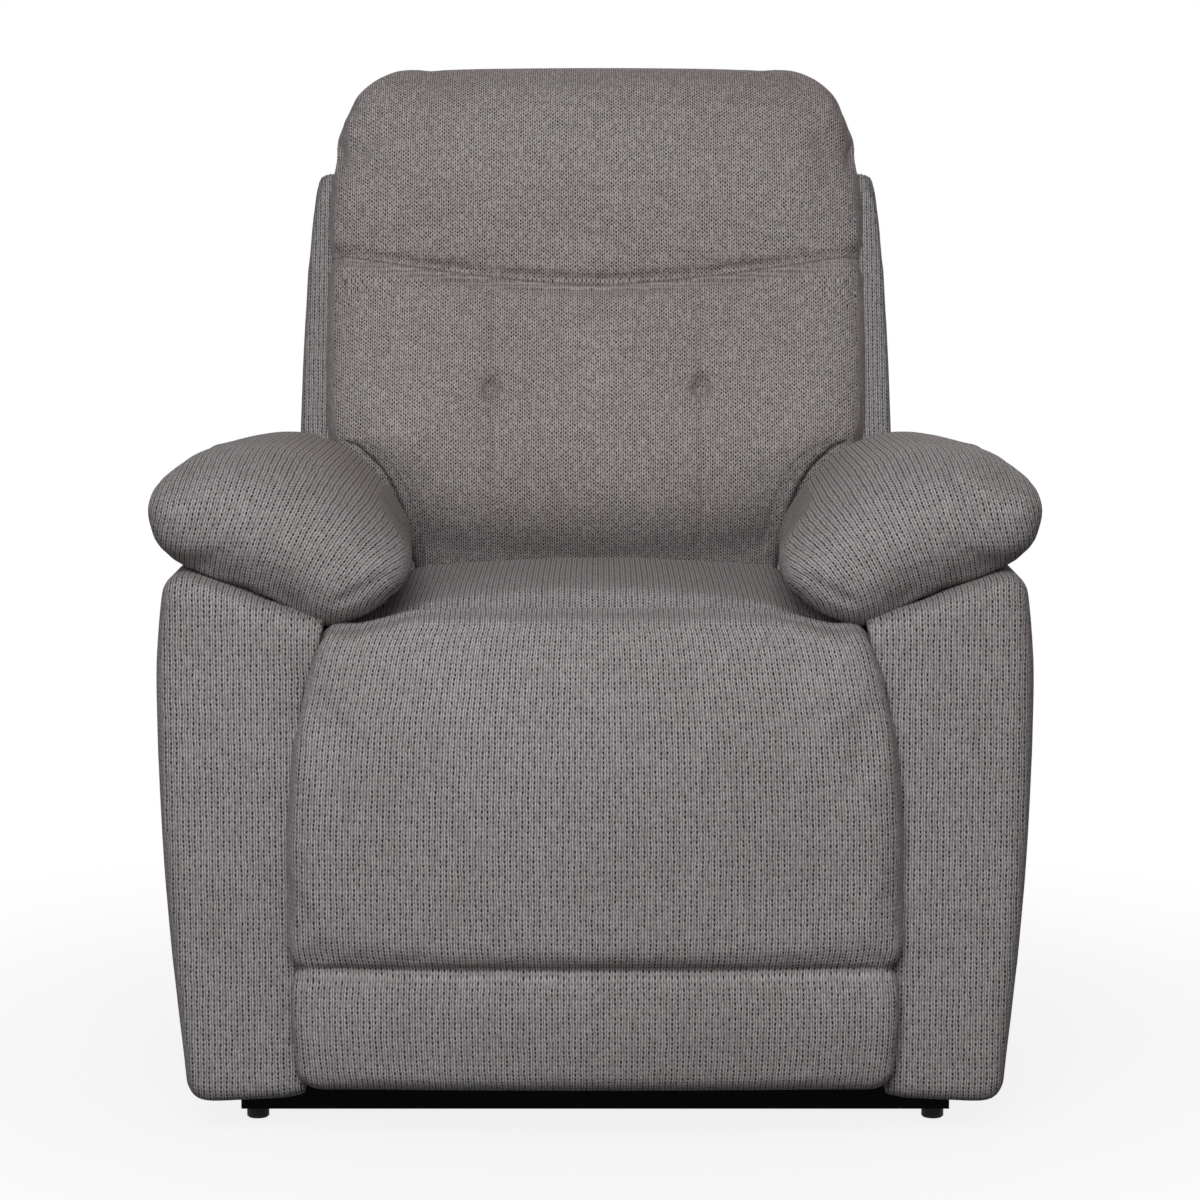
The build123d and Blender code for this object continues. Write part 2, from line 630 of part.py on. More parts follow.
with BuildPart() as footrest_pad_upper:
    loft(sections=[
        pad_at(PAD_SEAM + SOFT, 12, 2, 0.15, 8),
        pad_at(PAD_SEAM + 6, 6, 1, 0.07, 9),
        pad_at(PAD_SEAM + 21, 2, 0, 0.02, 9),
        pad_at(300, 0, 0, 0, 9),
        pad_at(BOARD_TOP - 38, 4, 1, 0.01, 9),
        pad_at(BOARD_TOP + SOFT, 10, 2, 0.05, 9),
    ], ruled=True)
    loft(sections=[
        pad_at(BOARD_TOP + SOFT, 10, 2, 0.05, 9, 0),
        pad_at(BOARD_TOP + 37, 17, 4, 0.1, 8, 0),
        pad_at(BOARD_TOP + 58, 28, 14, 0.15, 7, 0.02),
        pad_at(BOARD_TOP + 72, 43, 30, 0.21, 6, 0.06),
        pad_at(BOARD_TOP + 85, 78, 65, 0.28, 5, 0.13),
        pad_at(BOARD_TOP + 93, 106, 93, 0.34, 4, 0.21),
        pad_at(BOARD_TOP + 98.5, 132, 119, 0.41, 3, 0.3),
    ], ruled=True)
save(footrest_pad_upper.part, "footrest_pad_upper")
with BuildPart() as footrest_pad_lower:
    loft(sections=[
        pad_at(54, 23, 12, 0.29, 5),
        pad_at(59, 16, 8, 0.18, 6),
        pad_at(70, 10, 5, 0.09, 7),
        pad_at(PAD_SEAM - 54, 5, 2, 0.04, 8),
        pad_at(PAD_SEAM - 18, 5, 2, 0.06, 8),
        pad_at(PAD_SEAM - 6, 8, 2, 0.11, 8),
        pad_at(PAD_SEAM - SOFT, 13, 2, 0.16, 8),
    ], ruled=True)
save(footrest_pad_lower.part, "footrest_pad_lower")

# Back: brackets with the drive slot, wooden frame and webbing
with BuildPart() as back_bracket:
    up = 172
    head = moved(BACK_PIVOT, (-up * sin(radians(BACK_TILT)), up * cos(radians(BACK_TILT))))
    foot = moved(BACK_PIVOT, (0, -TAIL))
    add(plate(BACK_LAYER, ([(BACK_PIVOT, 18), (head, 13)], [(BACK_PIVOT, 18), (foot, 16)]),
              [(BACK_PIVOT, RIVET + RUN)]))
    with BuildSketch(side_plane(BACK_LAYER[1])):
        with Locations(moved(BACK_PIVOT, (0, -(TAIL + TAIL_MIN) / 2))):
            SlotCenterToCenter(TAIL - TAIL_MIN + 1, 2 * (DRIVE_PIN + TAIL_SIDE), rotation=90)
    extrude(amount=BACK_LAYER[1] - BACK_LAYER[0], mode=Mode.SUBTRACT)
save_pair(back_bracket.part, "back_bracket")

with BuildPart() as drive_link:
    drive_top = moved(BACK_PIVOT, (0, -TAIL))
    add(plate(DRIVE_LAYER, ([(DRIVE_PIVOT, 14), (drive_top, 10)],)))
    add(turned_pin(drive_top, ((BACK_LAYER[0], DRIVE_LAYER[0], DRIVE_PIN),)))
    add(turned_pin(DRIVE_PIVOT, (
        (DRIVE_LAYER[1], PLATE_LAYER[1] + 0.5, DRIVE_HOLE),
        (PLATE_LAYER[1] + 0.5, PLATE_LAYER[1] + 0.5 + HEAD, DRIVE_HOLE + 4),
    )))
save_pair(drive_link.part, "drive_link")

POST_OUTER = BACK_LAYER[0]
POST_INNER = 216.0
POST_HALF = 20.0
POST_FOOT = 40.0
POST_TOP = 590.0
FRAME_TOP = 640.0
WING_TOP = 549.0
BACK_HALF = POST_OUTER + 40.5        # widest half of the back cushion


def back_block(x_range, up_range, ahead_range):
    """Rectangular piece of the tilted back."""
    with BuildPart() as piece:
        with BuildSketch(back_plane(ahead_range[0])):
            with Locations((sum(x_range) / 2, sum(up_range) / 2)):
                Rectangle(x_range[1] - x_range[0], up_range[1] - up_range[0])
        extrude(amount=ahead_range[1] - ahead_range[0])
    return piece.part


DEPTH = (-POST_HALF, POST_HALF)
save_pair(back_block((POST_INNER, POST_OUTER), (POST_FOOT, POST_TOP), DEPTH), "back_post")
save(back_block((-POST_OUTER, POST_OUTER), (POST_TOP, FRAME_TOP), DEPTH), "back_top_rail")
save(back_block((-POST_INNER, POST_INNER), (60, 110), DEPTH), "back_bottom_rail")
WEBBING = 1.5
straps = [
    back_block((-POST_OUTER, POST_OUTER), (up, up + 50), (POST_HALF, POST_HALF + WEBBING))
    for up in range(140, 560, 80)
]
save(group(straps), "back_webbing")


def back_section(up, narrow, behind, edge, crown):
    """Section across the back, narrower than its cushion: flat behind, soft edges, crowned in front."""
    half = BACK_HALF - narrow
    corner = 0.1 * half
    with BuildSketch(back_section_plane(up)) as section:
        with BuildLine():
            Line((-half, behind), (half, behind))
            ThreePointArc((half, behind), (half + 2, (behind + edge) / 2), (half - 2, edge))
            ThreePointArc((half - 2, edge), (half - 0.35 * corner, edge + 0.6 * (crown - edge)),
                          (half - corner, edge + 0.8 * (crown - edge)))
            ThreePointArc((half - corner, edge + 0.8 * (crown - edge)), (0, crown),
                          (corner - half, edge + 0.8 * (crown - edge)))
            ThreePointArc((corner - half, edge + 0.8 * (crown - edge)),
                          (0.35 * corner - half, edge + 0.6 * (crown - edge)), (2 - half, edge))
            ThreePointArc((2 - half, edge), (-half - 2, (behind + edge) / 2), (-half, behind))
        make_face()
    return section.sketch


# Back cushion, notched over the arm pads, and the headrest that rolls over the top rail
CUSHION_BACK = POST_HALF + WEBBING + SOFT
CUSHION_FACE = 91.0                  # front of the back cushion where it is tufted
TUFT_X = 115.0
TUFT_UP = 291.0
TUFT_DEPTH = 7.0
TUFT_RADIUS = 80.0
with BuildPart() as back_cushion:
    loft(sections=[
        back_section(36, 111, CUSHION_BACK, 38, 56),
        back_section(44, 105, CUSHION_BACK, 46, 68),
        back_section(60, 99, CUSHION_BACK, 53, 80),
        back_section(90, 95, CUSHION_BACK, 58, 88),
        back_section(130, 89, CUSHION_BACK, 60, 93),
        back_section(160, 73, CUSHION_BACK, 60, 95),
        back_section(195, 39, CUSHION_BACK, 60, 96),
        back_section(225, 11, CUSHION_BACK, 59, 96),
        back_section(250, 3, CUSHION_BACK, 58, 95),
        back_section(330, 0, CUSHION_BACK, 56, 90),
        back_section(390, 1, CUSHION_BACK, 52, 80),
        back_section(410, 3, CUSHION_BACK, 47, 70),
        back_section(419, 7, CUSHION_BACK, 39, 58),
    ], ruled=True)
    with Locations(back_plane(CUSHION_FACE - TUFT_DEPTH + TUFT_RADIUS)):
        with Locations((-TUFT_X, TUFT_UP), (TUFT_X, TUFT_UP)):
            Sphere(TUFT_RADIUS, mode=Mode.SUBTRACT)
save(back_cushion.part, "back_cushion")
with BuildPart() as headrest_cushion:
    loft(sections=[
        back_section(421, 7, CUSHION_BACK, 39, 58),
        back_section(430, 3, CUSHION_BACK, 47, 70),
        back_section(448, 1, CUSHION_BACK, 54, 81),
        back_section(500, 2, CUSHION_BACK, 58, 90),
        back_section(560, 6, CUSHION_BACK, 56, 87),
        back_section(610, 16, CUSHION_BACK, 50, 77),
        back_section(FRAME_TOP + SOFT, 29, CUSHION_BACK, 42, 64),
    ], ruled=True)
    loft(sections=[
        back_section(FRAME_TOP + SOFT, 29, -64, 42, 64),
        back_section(652, 37, -60, 34, 54),
        back_section(664, 52, -50, 22, 40),
        back_section(673, 73, -34, 6, 22),
    ], ruled=True)
    for side in (-1, 1):
        cheek = sorted((side * (POST_OUTER + 2), side * (BACK_HALF - 23)))
        add(back_block(cheek, (WING_TOP + 2, FRAME_TOP + SOFT), (-22, CUSHION_BACK)))
save(headrest_cushion.part, "headrest_cushion")


def wing_section(up, reach):
    """Section across a padded wing that reaches out beside the back cushions."""
    outer = BACK_HALF + reach
    inner = BACK_LAYER[1] + SOFT
    with BuildSketch(back_section_plane(up)) as section:
        with BuildLine():
            Polyline((-inner, POST_HALF), (-inner, -22), (16 - outer, -22))
            ThreePointArc((16 - outer, -22), (5 - outer, -17), (-outer, -6))
            Line((-outer, -6), (-outer, 24))
            ThreePointArc((-outer, 24), (3 - outer, 35), (9 - outer, 40))
            Polyline((9 - outer, 40), (-BACK_HALF - 6, 36), (-BACK_HALF - 4, POST_HALF), (-inner, POST_HALF))
        make_face()
    return section.sketch


with BuildPart() as wing:
    loft(sections=[
        wing_section(150, 35),
        wing_section(330, 31),
        wing_section(WING_TOP - 10, 23),
        wing_section(WING_TOP, 18),
    ], ruled=True)
save_pair(wing.part, "back_wing")

PANEL_FRONT = -22 - SOFT
with BuildPart() as back_panel:
    loft(sections=[
        back_section(20, -21, PANEL_FRONT, -44, -62),
        back_section(26, -28, PANEL_FRONT, -52, -74),
        back_section(40, -32, PANEL_FRONT, -56, -80),
        back_section(330, -29, PANEL_FRONT, -56, -82),
        back_section(WING_TOP - 10, -21, PANEL_FRONT, -52, -76),
        back_section(WING_TOP, -16, PANEL_FRONT, -48, -72),
    ], ruled=True)
    loft(sections=[
        back_section(WING_TOP - 30, 9, PANEL_FRONT, -46, -72),
        back_section(600, 19, PANEL_FRONT, -44, -68),
        back_section(FRAME_TOP, 33, PANEL_FRONT, -40, -64),
    ], ruled=True)
    loft(sections=[
        back_section(-150, 61, PANEL_FRONT - 4, -40, -48),
        back_section(-142, 56, PANEL_FRONT, -46, -58),
        back_section(60, 55, PANEL_FRONT, -48, -62),
    ], ruled=True)
save(back_panel.part, "back_panel")

# Release: bezel let into the arm, paddle, cable, latch hook and the catch on the drive tube
with BuildPart() as release_bezel:
    with BuildSketch(side_plane(BEZEL_BACK)):
        with Locations(RELEASE):
            Rectangle(bezel_width + 2 * BEZEL_WALL, bezel_height + 2 * BEZEL_WALL)
    extrude(amount=BEZEL_BACK - BEZEL_SEAT)
    with BuildSketch(side_plane(BEZEL_SEAT)):
        with Locations(RELEASE):
            Rectangle(bezel_width + 2 * (BEZEL_WALL + BEZEL_LIP), bezel_height + 2 * (BEZEL_WALL + BEZEL_LIP))
    extrude(amount=BEZEL_SEAT - BEZEL_FACE)
    fillet(release_bezel.edges().filter_by(Axis.X).group_by(Axis.X)[0], radius=8)
    with BuildSketch(side_plane(BEZEL_BACK - BEZEL_WALL)):
        with Locations(RELEASE):
            RectangleRounded(bezel_width, bezel_height, radius=6)
    extrude(amount=60, mode=Mode.SUBTRACT)
    with BuildSketch(cross_plane(RELEASE[0] - 60)):
        with Locations((HINGE_X, HINGE_Z)):
            Circle(HINGE_PIN + RUN)
    extrude(amount=120, mode=Mode.SUBTRACT)
save(release_bezel.part, "release_bezel")

with BuildPart() as release_handle:
    with BuildSketch(cross_plane(RELEASE[0] - bezel_width / 2 + 1.5)):
        with Locations((HINGE_X, HINGE_Z)):
            Circle(4.5)
        with BuildLine():
            Polyline((HINGE_X, HINGE_Z + 4), (HINGE_X - 6, HINGE_Z + 3), (HINGE_X - 8, 364),
                     (HINGE_X - 3, 364),
                     (HINGE_X, HINGE_Z - 4), close=True)
        make_face()
    extrude(amount=bezel_width - 3)
    with BuildSketch(cross_plane(RELEASE[0] - bezel_width / 2 - 2.5)):
        with Locations((HINGE_X, HINGE_Z)):
            Circle(HINGE_PIN)
    extrude(amount=bezel_width + 5)
save(release_handle.part, "release_handle")

with BuildPart() as release_cable:
    y = ORIGIN_Y - RELEASE[0]
    with BuildLine():
        cable_path = FilletPolyline((BEZEL_BACK + 0.1, y, RELEASE[1]), (CABLE_X, y, RELEASE[1]),
                                    (CABLE_X, y, CABLE_END), radius=16)
    with BuildSketch(Plane(origin=cable_path @ 0, z_dir=cable_path % 0)):
        Circle(CABLE)
    sweep()
save(release_cable.part, "release_cable")

with BuildPart() as latch_hook:
    add(plate(LATCH_LAYER, ([(LATCH_PIVOT, 8), (LATCH_LEVER, 5)], [(LATCH_LEVER, 5), (LATCH_TIP, 2.5)])))
    add(turned_pin(LATCH_PIVOT, ((-ARM_INNER + 8, LATCH_LAYER[0], LATCH_PIN),)))
save(latch_hook.part, "latch_hook")

with BuildPart() as latch_catch:
    add(plate(LATCH_LAYER, ([(MAIN_PIVOT, 22), (CATCH_TOOTH, 6)],)))
    with BuildSketch(side_plane(LATCH_LAYER[1])):
        with Locations(MAIN_PIVOT):
            Rectangle(TUBE, TUBE, rotation=45)
    extrude(amount=LATCH_LAYER[1] - LATCH_LAYER[0], mode=Mode.SUBTRACT)
save(latch_catch.part, "latch_catch")
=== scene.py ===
import json
import math
from collections import namedtuple

import bmesh
import bpy
import numpy as np
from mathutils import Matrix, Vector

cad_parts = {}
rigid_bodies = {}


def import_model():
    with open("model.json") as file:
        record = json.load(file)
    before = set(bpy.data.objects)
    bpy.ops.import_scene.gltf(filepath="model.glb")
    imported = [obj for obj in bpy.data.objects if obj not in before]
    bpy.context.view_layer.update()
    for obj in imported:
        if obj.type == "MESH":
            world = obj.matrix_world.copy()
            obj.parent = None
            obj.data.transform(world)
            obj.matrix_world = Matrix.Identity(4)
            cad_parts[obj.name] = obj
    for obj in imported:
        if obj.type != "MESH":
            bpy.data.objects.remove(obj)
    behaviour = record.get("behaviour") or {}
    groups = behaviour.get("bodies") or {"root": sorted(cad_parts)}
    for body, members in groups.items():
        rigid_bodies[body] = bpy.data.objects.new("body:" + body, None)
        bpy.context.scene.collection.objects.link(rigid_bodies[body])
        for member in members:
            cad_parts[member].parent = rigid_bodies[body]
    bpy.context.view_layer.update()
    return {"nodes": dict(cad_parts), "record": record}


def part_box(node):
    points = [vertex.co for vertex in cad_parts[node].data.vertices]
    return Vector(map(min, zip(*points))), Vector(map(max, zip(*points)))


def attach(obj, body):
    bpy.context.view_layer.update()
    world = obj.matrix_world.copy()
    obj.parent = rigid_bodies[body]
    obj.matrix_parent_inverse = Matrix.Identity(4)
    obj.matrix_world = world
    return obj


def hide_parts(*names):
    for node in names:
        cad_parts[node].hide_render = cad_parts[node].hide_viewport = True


# Recliner armchair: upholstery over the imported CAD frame, materials, light and camera.
# Units are metres. X is to the viewer's right, Y to the back, Z up.
# A band is a pair of places: what it guides is 0 at the first place and 1 at the second.

for item in list(bpy.data.objects):
    bpy.data.objects.remove(item)
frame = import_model()
nodes = frame["nodes"]
scene = bpy.context.scene
scene.view_settings.view_transform = "Standard"

TILT = math.radians(17)                  # lean of the back
HINGE = np.array([0, 0.186, 0.390])      # hinge of the back
EYE = np.array([0.0047, -3.96, 0.9555])  # eye point of the photograph
KNIT_COLUMN = 0.0055                     # spacing of the knit's columns of holes
KNIT_ROW = 0.00472                       # spacing of its rows
BACK_KNIT = 1.10                         # the back is covered in a knit finer by this factor
SEAM_MARK = 1.0                          # seam_place and fold_place on their line; other covers have 0
PRESSURE = 4.0                           # of the stuffing, in a cloth run
CLOTH_FRAMES = 20                        # length of a cloth run
HOLD_LEVELS = (0.25, 0.5, 0.75, 1.0)     # how firmly points are held in it


# Mesh helpers
def bake(piece):
    """Applies the modifiers of a piece to its mesh."""
    bpy.context.view_layer.update()
    graph = bpy.context.evaluated_depsgraph_get()
    mesh = bpy.data.meshes.new_from_object(piece.evaluated_get(graph))
    piece.modifiers.clear()
    piece.data = mesh


def read_vectors(items, name):
    flat = np.empty(len(items) * 3, np.float32)
    items.foreach_get(name, flat)
    return flat.reshape(-1, 3).astype(float)


def get_points(piece):
    return read_vectors(piece.data.vertices, "co")


def get_normals(piece):
    return read_vectors(piece.data.vertices, "normal")


def face_normals(piece):
    return read_vectors(piece.data.polygons, "normal")


def set_points(piece, points):
    piece.data.vertices.foreach_set("co", points.astype(np.float32).ravel())
    piece.data.update()


def link_new(name, data):
    """New object in the scene that shows the given mesh, lamp or camera."""
    item = bpy.data.objects.new(name, data)
    scene.collection.objects.link(item)
    return item


def new_piece(name, points, faces):
    mesh = bpy.data.meshes.new(name)
    mesh.from_pydata([tuple(point) for point in points], [], faces)
    return link_new(name, mesh)


def ring_faces(rings, count):
    """Faces between each ring of points and the next."""
    faces = []
    for ring in range(rings - 1):
        here = ring * count
        there = here + count
        for k in range(count):
            after = (k + 1) % count
            faces.append((here + k, here + after, there + after, there + k))
    return faces


def ease(piece, rounds):
    """Smooths a mesh, applied."""
    smooth = piece.modifiers.new("Smooth", "SMOOTH")
    smooth.factor = 0.5
    smooth.iterations = rounds
    bake(piece)


def remesh(piece, voxel, rounds):
    """Even mesh of the same shape, applied and smoothed."""
    fit = piece.modifiers.new("Remesh", "REMESH")
    fit.mode = "VOXEL"
    fit.voxel_size = voxel
    bake(piece)
    ease(piece, rounds)


def soft_copy(name, sources, voxel, rounds, close_gap=None):
    """New object in the remeshed and smoothed shape of some CAD nodes, their gap closed first."""
    build = bmesh.new()
    for source in sources:
        build.from_mesh(nodes[source].data)
    mesh = bpy.data.meshes.new(name)
    build.to_mesh(mesh)
    build.free()
    piece = link_new(name, mesh)
    if close_gap is not None:
        set_points(piece, close_gap(get_points(piece)))
    remesh(piece, voxel, rounds)
    return piece


def puff(piece, hold, cap, slack=0.0):
    """Swells a piece with cloth pressure; held points stay and no point moves further than the cap."""
    start = get_points(piece)
    group = piece.vertex_groups.new(name="hold")
    for level in HOLD_LEVELS:
        near = np.where(np.abs(hold - level) <= HOLD_LEVELS[0] / 2)[0]
        group.add(near.tolist(), level, "REPLACE")
    cloth = piece.modifiers.new("Cloth", "CLOTH")
    settings = cloth.settings
    settings.quality = 6
    settings.mass = 0.25
    settings.tension_stiffness = 18
    settings.compression_stiffness = 12
    settings.bending_stiffness = 0.6
    settings.use_pressure = True
    settings.uniform_pressure_force = PRESSURE
    settings.shrink_min = -slack
    settings.effector_weights.gravity = 0
    settings.vertex_group_mass = "hold"
    cloth.collision_settings.use_collision = False
    cloth.point_cache.frame_start = 1
    cloth.point_cache.frame_end = CLOTH_FRAMES
    for step in range(1, CLOTH_FRAMES + 1):
        scene.frame_set(step)
    bake(piece)
    scene.frame_set(1)
    shift = get_points(piece) - start
    length = np.linalg.norm(shift, axis=1, keepdims=True)
    shift *= np.minimum(1, cap / np.maximum(length, 1e-9))
    set_points(piece, start + shift)
    piece.vertex_groups.clear()


def refine(piece):
    """One subdivision, applied."""
    finer = piece.modifiers.new("Subdivision", "SUBSURF")
    finer.levels = 1
    bake(piece)


def mirrored(piece, name):
    other = link_new(name, piece.data.copy())
    points = get_points(other)
    points[:, 0] *= -1
    set_points(other, points)
    other.data.flip_normals()
    return other


def store(piece, name, values):
    """Keeps one value per point for the material."""
    layer = piece.data.attributes.new(name, "FLOAT", "POINT")
    layer.data.foreach_set("value", values.astype(np.float32))


def press(piece, depth):
    """Pushes each point in along its normal."""
    set_points(piece, get_points(piece) - get_normals(piece) * depth[:, None])


def bell(distance, width):
    """1 at no distance, falling off within about twice the width."""
    return np.exp(-(distance / width) ** 2)


def ramp(value, zero, one):
    """Smooth step over a band."""
    share = np.clip((value - zero) / (one - zero), 0, 1)
    return share * share * (3 - 2 * share)


# Directions of a piece: across, from its face into its depth, and up
UPRIGHT = np.eye(3)
LEANING = np.array([
    [1, 0, 0],
    [0, math.cos(TILT), -math.sin(TILT)],
    [0, math.sin(TILT), math.cos(TILT)],
])
FACING_BACK = LEANING * np.array([[1], [-1], [1]])


def to_back(points):
    """Across, up the tilted back and ahead of it."""
    across, depth, up = ((points - HINGE) @ LEANING.T).T
    return across, up, -depth


def from_back(across, up, ahead):
    return np.stack([across, -ahead, up], axis=1) @ LEANING + HINGE


# Weave: metres across and along the knit's columns, which climb the face and run on over the top
PATH_STEP = 0.008
PATH_HALF = 0.03            # half width of the strip in which the path is measured
POINTS_AT_ONCE = 20000      # points compared with the path in one go
SIDE_NORMAL = 0.75          # a face that turns further sideways continues the columns upright
REAR_NORMAL = 0.6           # and so does one that turns further to the rear
LEVEL_STEP = 0.01           # heights at which a narrowing piece is measured
LEVEL_REACH = 0.006
DRAWN_IN = 0.8              # how closely its columns follow its width
FAN_CENTRE = (0.168, 0.493)  # of the bend of an arm pad's columns
FAN_RISE = 0.143
FAN_SPREAD = 1.12
FAN_END = 0.14              # from the centre to where the inner end of the pad begins
FAN_END_CLIMB = 0.45
FAN_NOSE_Y = -0.27          # ahead of this only a sharp side is plain
FAN_NOSE_NORMAL = 0.9


def lengths_along(line):
    """Length of a line up to each of its points."""
    return np.concatenate([[0], np.cumsum(np.linalg.norm(np.diff(line, axis=0), axis=1))])


def middle_path(across, depth, height):
    """Underside, face and top of a piece from its rear foot to its rear crest, in its middle plane."""
    centre = (across.min() + across.max()) / 2
    middle = np.abs(across - centre) < PATH_HALF
    depth = depth[middle]
    height = height[middle]
    crest = np.argmax(height - depth)
    rise = np.arange(height.min() + PATH_STEP / 2, height[crest], PATH_STEP)
    face = [depth[np.abs(height - level) < PATH_STEP].min() for level in rise]
    base = np.arange(depth.max() - PATH_STEP, face[0], -PATH_STEP)
    under = [height[np.abs(depth - level) < PATH_STEP].min() for level in base]
    run = np.arange(depth[crest] + PATH_STEP, depth.max(), PATH_STEP)
    top = [height[np.abs(depth - level) < PATH_STEP].max() for level in run]
    path = np.concatenate([np.stack(part, axis=1) for part in ((base, under), (face, rise), (run, top))])
    path[1:-1] = (path[:-2] + path[1:-1] + path[2:]) / 3
    return path, lengths_along(path), slice(len(base), len(base) + len(rise))


def length_at(path, length, depth, height):
    """Length along the path to the point of it nearest to each given point."""
    direction = np.gradient(path, axis=0)
    direction /= np.linalg.norm(direction, axis=1, keepdims=True)
    places = np.stack([depth, height], axis=1)
    result = np.empty(len(places))
    for part in np.array_split(np.arange(len(places)), max(1, len(places) // POINTS_AT_ONCE)):
        apart = places[part][:, None, :] - path[None, :, :]
        nearest = np.argmin((apart ** 2).sum(axis=2), axis=1)
        offset = apart[np.arange(len(part)), nearest]
        result[part] = length[nearest] + (offset * direction[nearest]).sum(axis=1)
    return result


def weave(piece, across, depth, height, normals, finer=1.0):
    """Stores the knit's coordinates per face corner; side and rear faces continue the columns upright."""
    mesh = piece.data
    path, length, face = middle_path(across, depth, height)
    along = length_at(path, length, depth, height)
    upright = np.interp(height, path[face, 1], length[face])
    corners = np.empty(len(mesh.loops), np.int32)
    mesh.loops.foreach_get("vertex_index", corners)
    counts = np.empty(len(mesh.polygons), np.int32)
    mesh.polygons.foreach_get("loop_total", counts)
    normals = np.repeat(normals, counts, axis=0)
    side = np.abs(normals[:, 0]) > SIDE_NORMAL
    rear = normals[:, 1] > REAR_NORMAL
    turn = np.where(side, np.sign(normals[:, 0]) * (depth - depth.min())[corners], 0)
    across = across[corners] + turn
    along = np.where(side | rear, upright[corners], along[corners])
    layer = mesh.uv_layers.new(name="weave")
    layer.data.foreach_set("uv", (finer * np.stack([across, along], axis=1)).astype(np.float32).ravel())


def weave_straight(piece, directions, finer=1.0):
    across, depth, height = (get_points(piece) @ directions.T).T
    weave(piece, across, depth, height, face_normals(piece) @ directions.T, finer)


def weave_narrowing(piece):
    """Columns that draw together where a piece gets narrower."""
    x, y, z = get_points(piece).T
    levels = np.arange(z.min() + LEVEL_STEP, z.max() - LEVEL_STEP, LEVEL_STEP)
    half = np.array([np.abs(x[np.abs(z - level) < LEVEL_REACH]).max() for level in levels])
    half[1:-1] = (half[:-2] + half[1:-1] + half[2:]) / 3
    across = x * (half.max() / np.interp(z, levels, half)) ** DRAWN_IN
    weave(piece, across, y, z, face_normals(piece))


def weave_fan(piece):
    """Columns of an arm pad: upright at its outer tip, bent over its inner end; plain on its sides."""
    x, y, z = get_points(piece).T
    out = np.abs(x) - FAN_CENTRE[0]
    climb = FAN_RISE * np.tanh((z - FAN_CENTRE[1]) / FAN_RISE)
    across = -FAN_SPREAD * np.hypot(out, climb)
    height = z + FAN_END_CLIMB * np.maximum(0, FAN_END - out)
    normals = face_normals(piece)
    nose = read_vectors(piece.data.polygons, "center")[:, 1] < FAN_NOSE_Y
    normals[nose & (np.abs(normals[:, 0]) < FAN_NOSE_NORMAL)] = 0
    weave(piece, across, y, height, normals)


